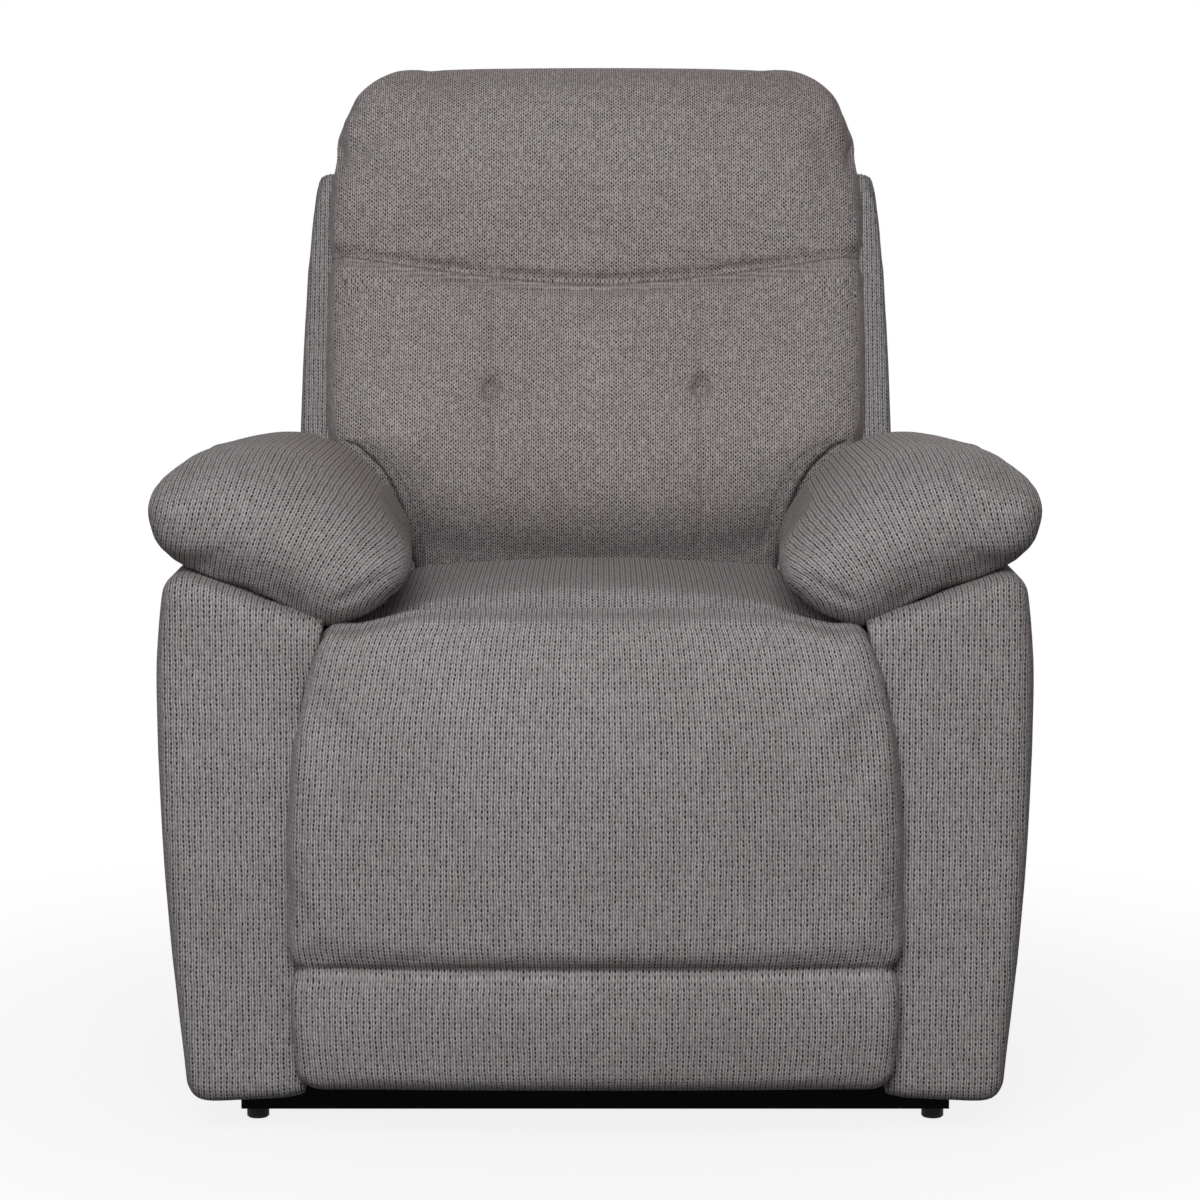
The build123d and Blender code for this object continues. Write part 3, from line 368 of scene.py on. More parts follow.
# Materials
class Graph:
    """Short names for the shader nodes of a material or a world."""

    def __init__(self, owner):
        owner.use_nodes = True
        self.owner = owner
        self.tree = owner.node_tree
        self.shader = self.tree.nodes.get("Principled BSDF")

    def add(self, kind, **values):
        node = self.tree.nodes.new(kind)
        for key, value in values.items():
            setattr(node, key, value)
        return node

    def feed(self, socket, value):
        if isinstance(value, bpy.types.NodeSocket):
            self.tree.links.new(value, socket)
        else:
            socket.default_value = value

    def set(self, node, values):
        """Gives values or links to the sockets of a node, by name."""
        for name, value in values.items():
            self.feed(node.inputs[name], value)

    def math(self, operation, *values):
        node = self.add("ShaderNodeMath", operation=operation)
        for socket, value in zip(node.inputs, values):
            self.feed(socket, value)
        return node.outputs[0]

    def ramp(self, value, zero, one, start=0.0, end=1.0):
        """Smooth step over a band, from the start value to the end value."""
        node = self.add("ShaderNodeMapRange", interpolation_type="SMOOTHSTEP")
        for socket, item in zip(node.inputs, (value, zero, one, start, end)):
            self.feed(socket, item)
        return node.outputs[0]

    def mix(self, factor, first, second):
        node = self.add("ShaderNodeMix", data_type="RGBA")
        self.feed(node.inputs["Factor"], factor)
        self.feed(node.inputs[6], first)
        self.feed(node.inputs[7], second)
        return node.outputs[2]

    def split(self, vector):
        """X, Y and Z of a vector."""
        node = self.add("ShaderNodeSeparateXYZ")
        self.feed(node.inputs[0], vector)
        return node.outputs

    def noise(self, vector, scale, detail=2.0, roughness=0.5):
        node = self.add("ShaderNodeTexNoise")
        self.set(node, {"Vector": vector, "Scale": scale, "Detail": detail, "Roughness": roughness})
        return node

    def chance(self, column, row):
        """One random value for each cell of a grid."""
        cell = self.add("ShaderNodeCombineXYZ")
        self.feed(cell.inputs[0], self.math("FLOOR", column))
        self.feed(cell.inputs[1], self.math("FLOOR", row))
        node = self.add("ShaderNodeTexWhiteNoise", noise_dimensions="2D")
        self.feed(node.inputs["Vector"], cell.outputs[0])
        return node.outputs["Value"]

    def stored(self, name):
        """Value that store() keeps on the points of a piece."""
        return self.add("ShaderNodeAttribute", attribute_name=name).outputs["Fac"]

    def place(self, stretch=(1, 1, 1)):
        """Position in the part's own frame, stretched along its axes."""
        coordinates = self.add("ShaderNodeTexCoord").outputs["Object"]
        scaled = self.add("ShaderNodeVectorMath", operation="MULTIPLY")
        self.feed(scaled.inputs[0], coordinates)
        scaled.inputs[1].default_value = stretch
        return scaled.outputs[0]

    def bump(self, height, strength, distance, normal=None):
        node = self.add("ShaderNodeBump")
        self.set(node, {"Strength": strength, "Distance": distance, "Height": height})
        if normal is not None:
            self.feed(node.inputs["Normal"], normal)
        self.feed(self.shader.inputs["Normal"], node.outputs[0])

    def edges(self, radius):
        """Normal of slightly rounded edges, and how far a point is on such an edge."""
        bevel = self.add("ShaderNodeBevel", samples=4)
        bevel.inputs["Radius"].default_value = radius
        flat = self.add("ShaderNodeNewGeometry").outputs["True Normal"]
        dot = self.add("ShaderNodeVectorMath", operation="DOT_PRODUCT")
        self.feed(dot.inputs[0], bevel.outputs[0])
        self.feed(dot.inputs[1], flat)
        return bevel.outputs[0], self.ramp(dot.outputs["Value"], 0.97, 0.8)

    def looked_at(self):
        """1 for a ray of the camera or one seen in gloss or through glass, 0 for light on a surface."""
        path = self.add("ShaderNodeLightPath").outputs
        mirrored_or_clear = self.math("MAXIMUM", path["Is Glossy Ray"], path["Is Transmission Ray"])
        return self.math("MAXIMUM", path["Is Camera Ray"], mirrored_or_clear)

    def show(self, output, share, first, second):
        """Leads a blend of two shaders to the output."""
        node = self.add("ShaderNodeMixShader")
        for socket, value in zip(node.inputs, (share, first, second)):
            self.feed(socket, value)
        self.feed(self.tree.nodes[output].inputs["Surface"], node.outputs[0])


# Columns of the knit: where their edges lie across a column, and how dark they are at least and at most
Column = namedtuple("Column", "edge middle least most")
KNIT_GRID = ((KNIT_COLUMN, 0.45), (KNIT_ROW, 1.1))  # spacing of columns and rows, and their unevenness
SEAM_LINE = (0.0026, 0.0008)                        # bands of distance from the lines
FOLD_LINE = (0.0017, 0.0006)
STRETCHED = ((-0.019, -0.009), (0.0005, -0.0005))   # below the seam, where the holes close
YARN_SHADE = (0.2, 0.172, 0.171, 1)
TWIST_SHADE = (0.15, 0.129, 0.128, 1)
# colour of the painted shade at the lower back and on the lips
PAINTED_SHADE_COLOUR = (0.02, 0.017, 0.017, 1)
HOLE_SHADE = (0.008, 0.0068, 0.0068, 1)


def knit_grid(g, weave_place):
    """Column and row at each place, both a little uneven."""
    drift = g.add("ShaderNodeSeparateColor")
    g.feed(drift.inputs[0], g.noise(weave_place, 60).outputs["Color"])
    grid = []
    for place, noise, (spacing, sway) in zip(g.split(weave_place), drift.outputs, KNIT_GRID):
        shift = g.math("MULTIPLY", g.math("SUBTRACT", noise, 0.5), sway)
        grid.append(g.math("ADD", g.math("DIVIDE", place, spacing), shift))
    return grid


def knit_darkness(g, column, row, side, holes, grooves):
    """Darkness of holes, grooves, seam and folds."""
    rise = g.math("MULTIPLY", g.math("ABSOLUTE", g.math("SUBTRACT", g.math("FRACT", row), 0.5)), 2.0)
    luck = g.chance(column, row)
    hole = g.math("MULTIPLY", g.ramp(rise, 0.85, 0.3), g.ramp(luck, 0.0, 0.7, 0.55, 1.0))
    seam = g.math("SUBTRACT", g.stored("seam_place"), SEAM_MARK)
    fold = g.math("SUBTRACT", g.stored("fold_place"), SEAM_MARK)
    stretched = g.math("MULTIPLY", g.ramp(seam, *STRETCHED[0]), g.ramp(seam, *STRETCHED[1]))
    hole = g.math("MULTIPLY_ADD", g.math("SUBTRACT", 0.5, hole), stretched, hole)
    depth = g.math("MULTIPLY_ADD", hole, holes.most - holes.least, holes.least)
    dark = g.math("MULTIPLY", g.ramp(side, holes.edge, holes.middle), depth)
    depth = g.ramp(rise, 0.1, 0.9, grooves.least, grooves.most)
    groove = g.math("MULTIPLY", g.ramp(side, grooves.edge, grooves.middle), depth)
    seam_line = g.ramp(g.math("ABSOLUTE", seam), *SEAM_LINE, 0.0, 0.6)
    fold_line = g.ramp(g.math("ABSOLUTE", fold), *FOLD_LINE, 0.0, 0.45)
    for other in (groove, seam_line, fold_line):
        dark = g.math("MAXIMUM", dark, other)
    return dark


def knit_material(name, rib, dusk, holes, grooves):
    """Chunky knit: pairs of twisted ribs, parted by columns of dark holes and by plain grooves."""
    g = Graph(bpy.data.materials.new(name))
    uv = g.add("ShaderNodeUVMap", uv_map="weave").outputs[0]
    column, row = knit_grid(g, uv)
    side = g.math("ABSOLUTE", g.math("SUBTRACT", g.math("FRACT", column), 0.5))
    dark = knit_darkness(g, column, row, side, holes, grooves)
    turn = g.math("ADD", row, g.math("MULTIPLY", side, 1.6))
    twist = g.math("SINE", g.math("MULTIPLY", turn, 2 * math.pi))
    fibre = g.noise(uv, 1400, 2.0, 0.7).outputs["Fac"]
    tone = g.noise(g.place(), 6.0, 3.0).outputs["Fac"]
    stitch = g.chance(g.math("MULTIPLY", column, 2.0), g.math("ADD", row, 0.5))
    colour = g.mix(g.ramp(tone, 0.35, 0.65, 0.0, 0.35), rib, dusk)
    colour = g.mix(g.ramp(fibre, 0.25, 0.75, 0.0, 0.35), colour, dusk)
    colour = g.mix(g.ramp(stitch, 0.0, 1.0, 0.0, 0.38), colour, YARN_SHADE)
    colour = g.mix(g.ramp(twist, -0.6, 0.9, 0.0, 0.42), colour, TWIST_SHADE)
    colour = g.mix(g.ramp(dark, 0.0, 0.5), colour, g.mix(0.3, colour, dusk))
    # Painted shade: the knit darkens where a piece stores its painted shade value, at the lower back and on
    # the lips.
    colour = g.mix(g.math("MULTIPLY", g.stored("painted_shade"), 0.35), colour, PAINTED_SHADE_COLOUR)
    g.set(g.shader, {
        "Base Color": g.mix(dark, colour, HOLE_SHADE),
        "Roughness": 0.92,
        "Specular IOR Level": 0.15,
        "Sheen Weight": 0.06,
        "Sheen Roughness": 0.4,
        "Sheen Tint": (1.0, 0.78, 0.77, 1),
    })
    relief = g.math("ADD", g.math("MULTIPLY", twist, 0.08), g.math("MULTIPLY", fibre, 0.14))
    g.bump(g.math("SUBTRACT", relief, dark), 0.6, 0.0011)
    return g.owner


def metal_material(name, dark, light, worn, roughness, grain):
    """Drawn or plated steel: streaks along it, blots and bright edges."""
    g = Graph(bpy.data.materials.new(name))
    normal, edge = g.edges(0.0009)
    streak = g.noise(g.place((40, 40, 400)), 1.0, 4.0, 0.6).outputs["Fac"]
    blot = g.noise(g.place(), 26, 4.0, 0.6).outputs["Fac"]
    cloudy = g.math("ADD", g.math("MULTIPLY", streak, 0.5), g.math("MULTIPLY", blot, 0.5))
    base = g.mix(g.ramp(cloudy, 0.35, 0.65), dark, light)
    g.set(g.shader, {
        "Base Color": g.mix(g.math("MULTIPLY", edge, 0.6), base, worn),
        "Metallic": 1.0,
        "Roughness": g.ramp(blot, 0.3, 0.7, roughness, roughness + 0.18),
    })
    g.bump(streak, grain, 0.0002, normal)
    return g.owner


def coated_material(name, dark, light, worn, pebble, roughness, shine):
    """Powder coat or moulded plastic: fine pebbled surface with rubbed edges."""
    g = Graph(bpy.data.materials.new(name))
    normal, edge = g.edges(0.0012)
    grain = g.noise(g.place(), pebble, 3.0, 0.6).outputs["Fac"]
    dust = g.noise(g.place(), 14, 4.0, 0.6).outputs["Fac"]
    base = g.mix(g.ramp(dust, 0.4, 0.75), dark, light)
    g.set(g.shader, {
        "Base Color": g.mix(g.math("MULTIPLY", edge, 0.5), base, worn),
        "Roughness": g.ramp(grain, 0.3, 0.7, roughness, roughness + 0.15),
        "Specular IOR Level": shine,
    })
    g.bump(grain, 0.25, 0.0003, normal)
    return g.owner


def timber_material(name, stretch, pale, dark, layers):
    """Wood with grain and pores; plywood also shows its layers, of the given thickness."""
    g = Graph(bpy.data.materials.new(name))
    normal, edge = g.edges(0.0012)
    place = g.place(stretch)
    grain = g.noise(place, 1.0, 5.0, 0.62).outputs["Fac"]
    rings = g.math("SINE", g.math("MULTIPLY", grain, 34.0))
    colour = g.mix(g.ramp(rings, -0.6, 0.9), dark, pale)
    pores = g.noise(place, 9.0, 3.0, 0.6).outputs["Fac"]
    colour = g.mix(g.ramp(pores, 0.58, 0.75, 0.0, 0.35), colour, (0.16, 0.09, 0.045, 1))
    if layers:
        across = g.split(g.place())[0]
        ply = g.ramp(g.math("PINGPONG", across, layers), 0.3 * layers, 0.7 * layers)
        colour = g.mix(g.math("MULTIPLY", ply, 0.35), colour, (0.3, 0.18, 0.09, 1))
    g.set(g.shader, {
        "Base Color": g.mix(g.math("MULTIPLY", edge, 0.3), colour, pale),
        "Roughness": g.ramp(pores, 0.3, 0.7, 0.55, 0.75),
    })
    g.bump(g.math("ADD", grain, pores), 0.3, 0.0004, normal)
    return g.owner


def webbing_material(name, threads):
    """Plain black webbing."""
    g = Graph(bpy.data.materials.new(name))
    across, _, up = g.split(g.place())
    warp = g.math("SINE", g.math("MULTIPLY", up, threads))
    weft = g.math("SINE", g.math("MULTIPLY", across, threads))
    cloth = g.math("MULTIPLY", warp, weft)
    g.set(g.shader, {
        "Base Color": g.mix(g.ramp(cloth, -1.0, 1.0), (0.012, 0.012, 0.014, 1), (0.05, 0.05, 0.055, 1)),
        "Roughness": 0.85,
        "Sheen Weight": 0.2,
    })
    g.bump(cloth, 0.5, 0.0005)
    return g.owner


finishes = {
    "black_steel": coated_material(
        "black_steel", dark=(0.004, 0.004, 0.0041, 1), light=(0.008, 0.008, 0.0083, 1),
        worn=(0.014, 0.014, 0.014, 1), pebble=900, roughness=0.6, shine=0.05),
    "black_plastic": coated_material(
        "black_plastic", dark=(0.006, 0.006, 0.0065, 1), light=(0.012, 0.012, 0.013, 1),
        worn=(0.03, 0.03, 0.03, 1), pebble=1500, roughness=0.5, shine=0.2),
    "zinc_steel": metal_material(
        "zinc_steel", dark=(0.36, 0.36, 0.37, 1), light=(0.52, 0.52, 0.51, 1),
        worn=(0.66, 0.66, 0.65, 1), roughness=0.32, grain=0.2),
    "spring_wire": metal_material(
        "spring_wire", dark=(0.17, 0.17, 0.18, 1), light=(0.3, 0.3, 0.31, 1),
        worn=(0.45, 0.45, 0.45, 1), roughness=0.38, grain=0.15),
    "timber": timber_material(
        "planed_softwood", stretch=(7, 60, 60), layers=0,
        pale=(0.55, 0.38, 0.2, 1), dark=(0.4, 0.25, 0.12, 1)),
    "plywood": timber_material(
        "plywood", stretch=(60, 7, 60), layers=0.0018,
        pale=(0.58, 0.42, 0.25, 1), dark=(0.46, 0.31, 0.17, 1)),
    "webbing": webbing_material("back_webbing", threads=2600.0),
    "cover_fabric": knit_material(
        "cover_knit", rib=(0.64, 0.63, 0.63, 1), dusk=(0.483, 0.41, 0.41, 1),
        holes=Column(0.26, 0.08, 0.33, 0.99), grooves=Column(0.33, 0.48, 0.4, 0.78)),
}
cover_knit = finishes["cover_fabric"]
# Knit of the back: finer and pinker than the seat's. Its colours are also painted lighter, standing in for
# the brighter light that falls on the back.
back_knit = knit_material(
    "back_knit", rib=(0.85, 0.782, 0.78, 1), dusk=(0.643, 0.534, 0.532, 1),
    holes=Column(0.28, 0.10, 0.12, 0.97), grooves=Column(0.27, 0.44, 0.35, 0.95))

for entry in frame["record"]["subparts"]:
    mesh = nodes[entry["node"]].data
    mesh.materials.clear()
    mesh.materials.append(finishes[entry["material_slot"]])


def upholster(piece, fabric, body, replaced):
    """Finishes a padded piece: smooth shading, knit, body and the CAD nodes that it stands for."""
    piece.data.shade_smooth()
    piece.data.materials.clear()
    piece.data.materials.append(fabric)
    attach(piece, body)
    if replaced:
        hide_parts(*replaced)


# Seat cushion: it rises beside the arm pads, and its rear edge dips in the middle
SEAT_FOOT = (0.43, 0.41)         # heights; held below them
SEAT_TOP = (0.42, 0.47)
SEAT_SIDE = (0.205, 0.265)
SEAT_SIDE_RISE = 0.018
SEAT_REAR = (-0.15, 0.05)
SEAT_REAR_TOP = (0.445, 0.475)
SEAT_REAR_RISE = 0.0095
SEAT_REAR_DIP = 0.0037
SEAT_REAR_HALF = 0.18


def seat_cover():
    seat = soft_copy("seat_cushion_cover", ["seat_cushion"], 0.008, 6)
    puff(seat, ramp(get_points(seat)[:, 2], *SEAT_FOOT), cap=0.007)
    refine(seat)
    x, y, z = get_points(seat).T
    edge = np.abs(x)
    z = z + SEAT_SIDE_RISE * ramp(edge, *SEAT_SIDE) * ramp(z, *SEAT_TOP)
    rear = ramp(y, *SEAT_REAR) * ramp(z, *SEAT_REAR_TOP)
    z = z + (SEAT_REAR_RISE * np.clip(edge / SEAT_REAR_HALF, 0, 1) ** 2 - SEAT_REAR_DIP) * rear
    set_points(seat, np.stack([x, y, z], axis=1))
    weave_straight(seat, UPRIGHT)
    upholster(seat, cover_knit, "seat_unit", ["seat_cushion"])


# Footrest: an upper and a lower pad sewn together along a level seam, with faint pulls in the face
FOOT_NODES = ["footrest_pad_upper", "footrest_pad_lower"]
FOOT_SEAM = 0.174
FOOT_SEAM_HELD = 0.009
FOOT_SEAM_WIDTH = 0.005
FOOT_SEAM_DEPTH = 0.005
FOOT_GAP = 0.002                 # between the two solids
FOOT_REAR = (-0.362, -0.35)      # held against the board
FOOT_LOW = (0.1, 0.075)          # heights; held below them
FOOT_FACE = (-0.36, -0.38)
FOOT_TOP = (0.44, 0.48)
SHOULDER_X = 0.256               # upper corners, raised
SHOULDER_WIDTH = 0.022
SHOULDER_RISE = 0.013
PULLS = ((-0.197, 0.305), (0.208, 0.295))
PULL_LEAN = 0.06
PULL_WIDTH = 0.007
PULL_LENGTH = 0.055
PULL_DEPTH = 0.0018


def close_foot_gap(points):
    below = (points[:, 2] < FOOT_SEAM) & (FOOT_SEAM - points[:, 2] < FOOT_GAP / 2)
    points[below, 2] += FOOT_GAP
    return points


def footrest_cover():
    pad = soft_copy("footrest_cover", FOOT_NODES, 0.007, 5, close_foot_gap)
    _, y, z = get_points(pad).T
    sewn = np.where(bell(z - FOOT_SEAM, FOOT_SEAM_HELD) > 0.5, 1.0, 0.0)
    puff(pad, np.maximum.reduce([ramp(y, *FOOT_REAR), ramp(z, *FOOT_LOW), sewn]), cap=0.006)
    refine(pad)
    x, y, z = get_points(pad).T
    z = z + SHOULDER_RISE * bell(np.abs(x) - SHOULDER_X, SHOULDER_WIDTH) * ramp(z, *FOOT_TOP)
    set_points(pad, np.stack([x, y, z], axis=1))
    sink = FOOT_SEAM_DEPTH * bell(z - FOOT_SEAM, FOOT_SEAM_WIDTH)
    for pull_x, pull_z in PULLS:
        beside = x - pull_x + PULL_LEAN * (z - pull_z)
        sink += PULL_DEPTH * bell(beside, PULL_WIDTH) * bell(z - pull_z, PULL_LENGTH)
    press(pad, ramp(y, *FOOT_FACE) * sink)
    weave_narrowing(pad)
    upholster(pad, cover_knit, "footrest", FOOT_NODES)


# Back: tufted lower cushion and headrest in one cover, parted by a swagged seam
BACK_NODES = ["back_cushion", "headrest_cushion"]
BACK_GAP_UP = 0.419              # lower edge of the gap between the two solids
BACK_GAP = 0.004
FACE_AHEAD = 0.03                # the face lies ahead of this
BACK_FRONT = (0.03, 0.055)
SEAM_UP = 0.409                  # of the seam in the middle
SEAM_RISE = 0.039                # towards the sides
SEAM_HALF = 0.29
VALLEY_UP = 0.420                # valley between the solids, partly filled and drawn to the seam
VALLEY_WIDTH = 0.022
VALLEY_FILL = 0.013
SWAG_WIDTH = 0.07
SWAG_AHEAD = (-0.02, 0.03)
CROWN = 0.010                    # by which the face falls back at its sides
CROWN_HALF = 0.285
SCOOP_UP = 0.215                 # below this the face falls back to the seat
SCOOP_HEIGHT = 0.11
SCOOP = 0.058
HEAD_WIDER = 0.025               # share by which the headrest widens
HEAD_BANDS = ((0.56, 0.592), (0.662, 0.626))
BODY_WIDER = 0.003               # widening of the sides below the headrest
BODY_EDGE = (0.26, 0.285)
BODY_TOP = (0.56, 0.53)
LOW_WIDER = 0.014                # widening at the lower end, behind the pads
LOW_EDGE = (0.17, 0.2)
LOW_UP = 0.1
LOW_HEIGHT = 0.035
CORNER_NARROWER = 0.05           # share by which the upper rear corners draw in
CORNER_ACROSS = (0.16, 0.26)
CORNER_UP = (0.6, 0.63)
CORNER_AHEAD = (-0.01, -0.05)
BEHIND_UP = (0.6, 0.58)          # what lies behind is held
BEHIND_AHEAD = (0.04, 0.026)
TUFT_X, TUFT_UP = 0.115, 0.291
TUFT_HELD = 0.009
TUFT_WIDTH = 0.0095
TUFT_DEPTH = 0.013
FOLD_BANDS = ((0.09, 0.14), (0.415, 0.40))   # heights of the upright folds through the tufts
FOLD_WIDTH = 0.005
FOLD_DEPTH = 0.004
FOLD_SEEN = (0.09, 0.405)
GROOVE_BELOW, GROOVE_ABOVE = 0.012, 0.008    # widths of the seam's groove
GROOVE_HELD = 0.006
GROOVE_DEPTH = 0.007
TUCK_BANDS = ((0.08, 0.1), (0.236, 0.23))    # heights of the tuck beside each lip
TUCK_BESIDE = 0.0075
TUCK_WIDTH = 0.003
TUCK_DEPTH = 0.004
NOOK_UP = (0.27, 0.2)            # painted shade beside the lips and at the lower end
NOOK_WIDTH = 0.035
NOOK_SHARE = 0.7
SHADE_UP = (0.19, 0.1)

# Rolled lips along the notches of the back cushion: an arc from the lower end up to the cushion's edge
LIP_RADIUS = 0.0065
LIP_RINGS = 60
LIP_SIDES = 12
LIP_CLIMB = np.linspace(0.075, 0.2345, LIP_RINGS)
LIP_EDGE = 0.2835
LIP_SPAN = 0.0915
LIP_FOOT = 0.083
LIP_HEIGHT = 0.152
LIP_REACH = 0.007                # around a point of the lip, where the cover's face is measured


def lip_across(up):
    """Line of the rolled lips on the face of the back, by height."""
    return LIP_EDGE - LIP_SPAN * np.sqrt(1 - np.clip((up - LIP_FOOT) / LIP_HEIGHT, 0, 0.999) ** 2)


def seam_height(across):
    return SEAM_UP + SEAM_RISE * (np.abs(across) / SEAM_HALF) ** 1.5


def tuft_distance(across, up):
    return np.hypot(np.abs(across) - TUFT_X, up - TUFT_UP)


def close_back_gap(points):
    across, up, ahead = to_back(points)
    return from_back(across, np.where(np.abs(up - BACK_GAP_UP) < 0.0005, up + BACK_GAP, up), ahead)


def shape_back(back):
    """Draws the valley to the seam, rounds the face, fits the outline and stuffs the cover."""
    across, up, ahead = to_back(get_points(back))
    front = ramp(ahead, *BACK_FRONT)
    ahead = ahead + VALLEY_FILL * bell(up - VALLEY_UP, VALLEY_WIDTH) * front
    crown = CROWN * (across / CROWN_HALF) ** 4
    ahead = ahead - front * (crown + SCOOP * np.clip((SCOOP_UP - up) / SCOOP_HEIGHT, 0, 1.2) ** 2)
    swag = (seam_height(across) - VALLEY_UP) * bell(up - VALLEY_UP, SWAG_WIDTH)
    up = up + swag * ramp(ahead, *SWAG_AHEAD)
    side = np.sign(across)
    across = across * (1 + HEAD_WIDER * ramp(up, *HEAD_BANDS[0]) * ramp(up, *HEAD_BANDS[1]))
    across = across + side * BODY_WIDER * ramp(np.abs(across), *BODY_EDGE) * ramp(up, *BODY_TOP)
    across = across + side * LOW_WIDER * ramp(np.abs(across), *LOW_EDGE) * bell(up - LOW_UP, LOW_HEIGHT)
    corner = ramp(ahead, *CORNER_AHEAD) * ramp(up, *CORNER_UP) * ramp(np.abs(across), *CORNER_ACROSS)
    set_points(back, from_back(across * (1 - CORNER_NARROWER * corner), up, ahead))
    behind = ramp(ahead, *BEHIND_AHEAD) * ramp(up, *BEHIND_UP)
    tuft = bell(tuft_distance(across, up), TUFT_HELD)
    puff(back, np.maximum.reduce([behind, tuft, bell(up - seam_height(across), GROOVE_HELD)]), cap=0.007)
    refine(back)


def sew_back(back):
    """Sinks tufts, folds, seam and tucks into the face, marks their places for the knit, and stores painted
    shade.
    """
    across, up, ahead = to_back(get_points(back))
    front = ramp(ahead, *BACK_FRONT)
    fold = bell(np.abs(across) - TUFT_X, FOLD_WIDTH) * ramp(up, *FOLD_BANDS[0]) * ramp(up, *FOLD_BANDS[1])
    tuft = bell(tuft_distance(across, up), TUFT_WIDTH)
    gap = up - seam_height(across)
    groove = np.where(gap < 0, bell(gap, GROOVE_BELOW), bell(gap, GROOVE_ABOVE))
    mean_stretch = np.hypot(1, np.gradient(lip_across(LIP_CLIMB), LIP_CLIMB)).mean()
    beside = np.abs(np.abs(across) - lip_across(up)) / mean_stretch
    tuck = bell(beside - TUCK_BESIDE, TUCK_WIDTH) * ramp(up, *TUCK_BANDS[0]) * ramp(up, *TUCK_BANDS[1])
    press(back, front * (FOLD_DEPTH * fold + TUFT_DEPTH * tuft + GROOVE_DEPTH * groove + TUCK_DEPTH * tuck))
    across, up, ahead = to_back(get_points(back))
    face = ahead > FACE_AHEAD
    store(back, "seam_place", np.where(face, SEAM_MARK + up - seam_height(across), 0))
    folded = face & (up > FOLD_SEEN[0]) & (up < FOLD_SEEN[1])
    store(back, "fold_place", np.where(folded, SEAM_MARK + np.abs(across) - TUFT_X, 0))
    # Painted shade: darker beside the lips and towards the lower end, where the seat and the pads shade the
    # back.
    nook = NOOK_SHARE * bell(beside, NOOK_WIDTH) * ramp(up, *NOOK_UP)
    store(back, "painted_shade", front * np.clip(ramp(up, *SHADE_UP) + nook, 0, 1))


def back_cover():
    back = soft_copy("back_cover", BACK_NODES, 0.007, 6, close_back_gap)
    shape_back(back)
    sew_back(back)
    weave_straight(back, LEANING, BACK_KNIT)
    upholster(back, back_knit, "back", BACK_NODES)
    return back


def lip(name, side, back):
    """Slim roll that lies on the face of the back cover, closed at both ends."""
    cover_across, cover_up, cover_ahead = to_back(get_points(back))
    middle = lip_across(LIP_CLIMB)
    face = np.array([
        cover_ahead[np.hypot(side * cover_across - x, cover_up - up) < LIP_REACH].max()
        for x, up in zip(middle, LIP_CLIMB)
    ])
    face[2:-2] = (face[:-4] + face[1:-3] + face[2:-2] + face[3:-1] + face[4:]) / 5
    girth = LIP_RADIUS * np.minimum(1, 4 * np.sin(np.linspace(0.02, math.pi - 0.02, LIP_RINGS)))
    slope = np.gradient(middle, LIP_CLIMB)
    stretch = np.hypot(1, slope)
    points = []
    for up, x, radius, lean, scale, ahead in zip(LIP_CLIMB, middle, girth, slope, stretch, face):
        for turn in np.linspace(0, 2 * math.pi, LIP_SIDES + 1)[:-1]:
            out = radius * math.cos(turn)
            raised = ahead + radius * math.sin(turn)
            points.append((side * (x + out / scale), up - out * lean / scale, raised))
    last = (LIP_RINGS - 1) * LIP_SIDES
    ends = [tuple(range(LIP_SIDES)), tuple(range(last, last + LIP_SIDES))]
    piece = new_piece(name, from_back(*np.array(points).T), ring_faces(LIP_RINGS, LIP_SIDES) + ends)
    shape = bmesh.new()
    shape.from_mesh(piece.data)
    bmesh.ops.recalc_face_normals(shape, faces=shape.faces)
    shape.to_mesh(piece.data)
    shape.free()
    return piece


def back_lips(back):
    for name, side in (("back_lip_left", -1), ("back_lip_right", 1)):
        piece = lip(name, side, back)
        refine(piece)
        weave_straight(piece, LEANING, BACK_KNIT)
        # Painted shadow: each lip is darkened all over, standing in for the shadow of the arm pad.
        store(piece, "painted_shade", np.ones(len(piece.data.vertices)))
        upholster(piece, back_knit, "back", [])


# Padded wings: their tops follow a rounded corner, given as places across and the fall there
WING_CORNER = ((0.285, 0), (0.293, 0), (0.303, 0.003), (0.3095, 0.0075), (0.3121, 0.0164),
               (0.314, 0.0264), (0.3166, 0.05), (0.32, 0.085))
WING_RAISED = 0.0055
WING_FITTED = 0.11               # height below the top that is fitted to the corner
WING_STEP = 0.002                # places at which the top is measured
WING_REACH = 0.003
WING_LIP = 0.009                 # by which the front inner edge draws in
WING_LIP_ACROSS = (0.32, 0.306)
WING_LIP_AHEAD = (0.0202, 0.024)


def wing_covers():
    wing = soft_copy("back_wing_cover_right", ["back_wing_right"], 0.006, 5)
    refine(wing)
    across, up, ahead = to_back(get_points(wing))
    places = np.arange(across.min(), across.max(), WING_STEP)
    crest = np.array([up[np.abs(across - place) < WING_REACH].max() for place in places])
    crest = np.interp(across, places, crest)
    limit = up.max() + WING_RAISED - np.interp(across, *np.array(WING_CORNER).T)
    foot = up.max() - WING_FITTED
    up = np.where(up > foot, foot + (up - foot) * (limit - foot) / np.maximum(crest - foot, 0.001), up)
    across = across - WING_LIP * ramp(across, *WING_LIP_ACROSS) * ramp(ahead, *WING_LIP_AHEAD)
    set_points(wing, from_back(across, up, ahead))
    other = mirrored(wing, "back_wing_cover_left")
    for piece, node in ((wing, "back_wing_right"), (other, "back_wing_left")):
        weave_straight(piece, LEANING, BACK_KNIT)
        upholster(piece, cover_knit, "back", [node])


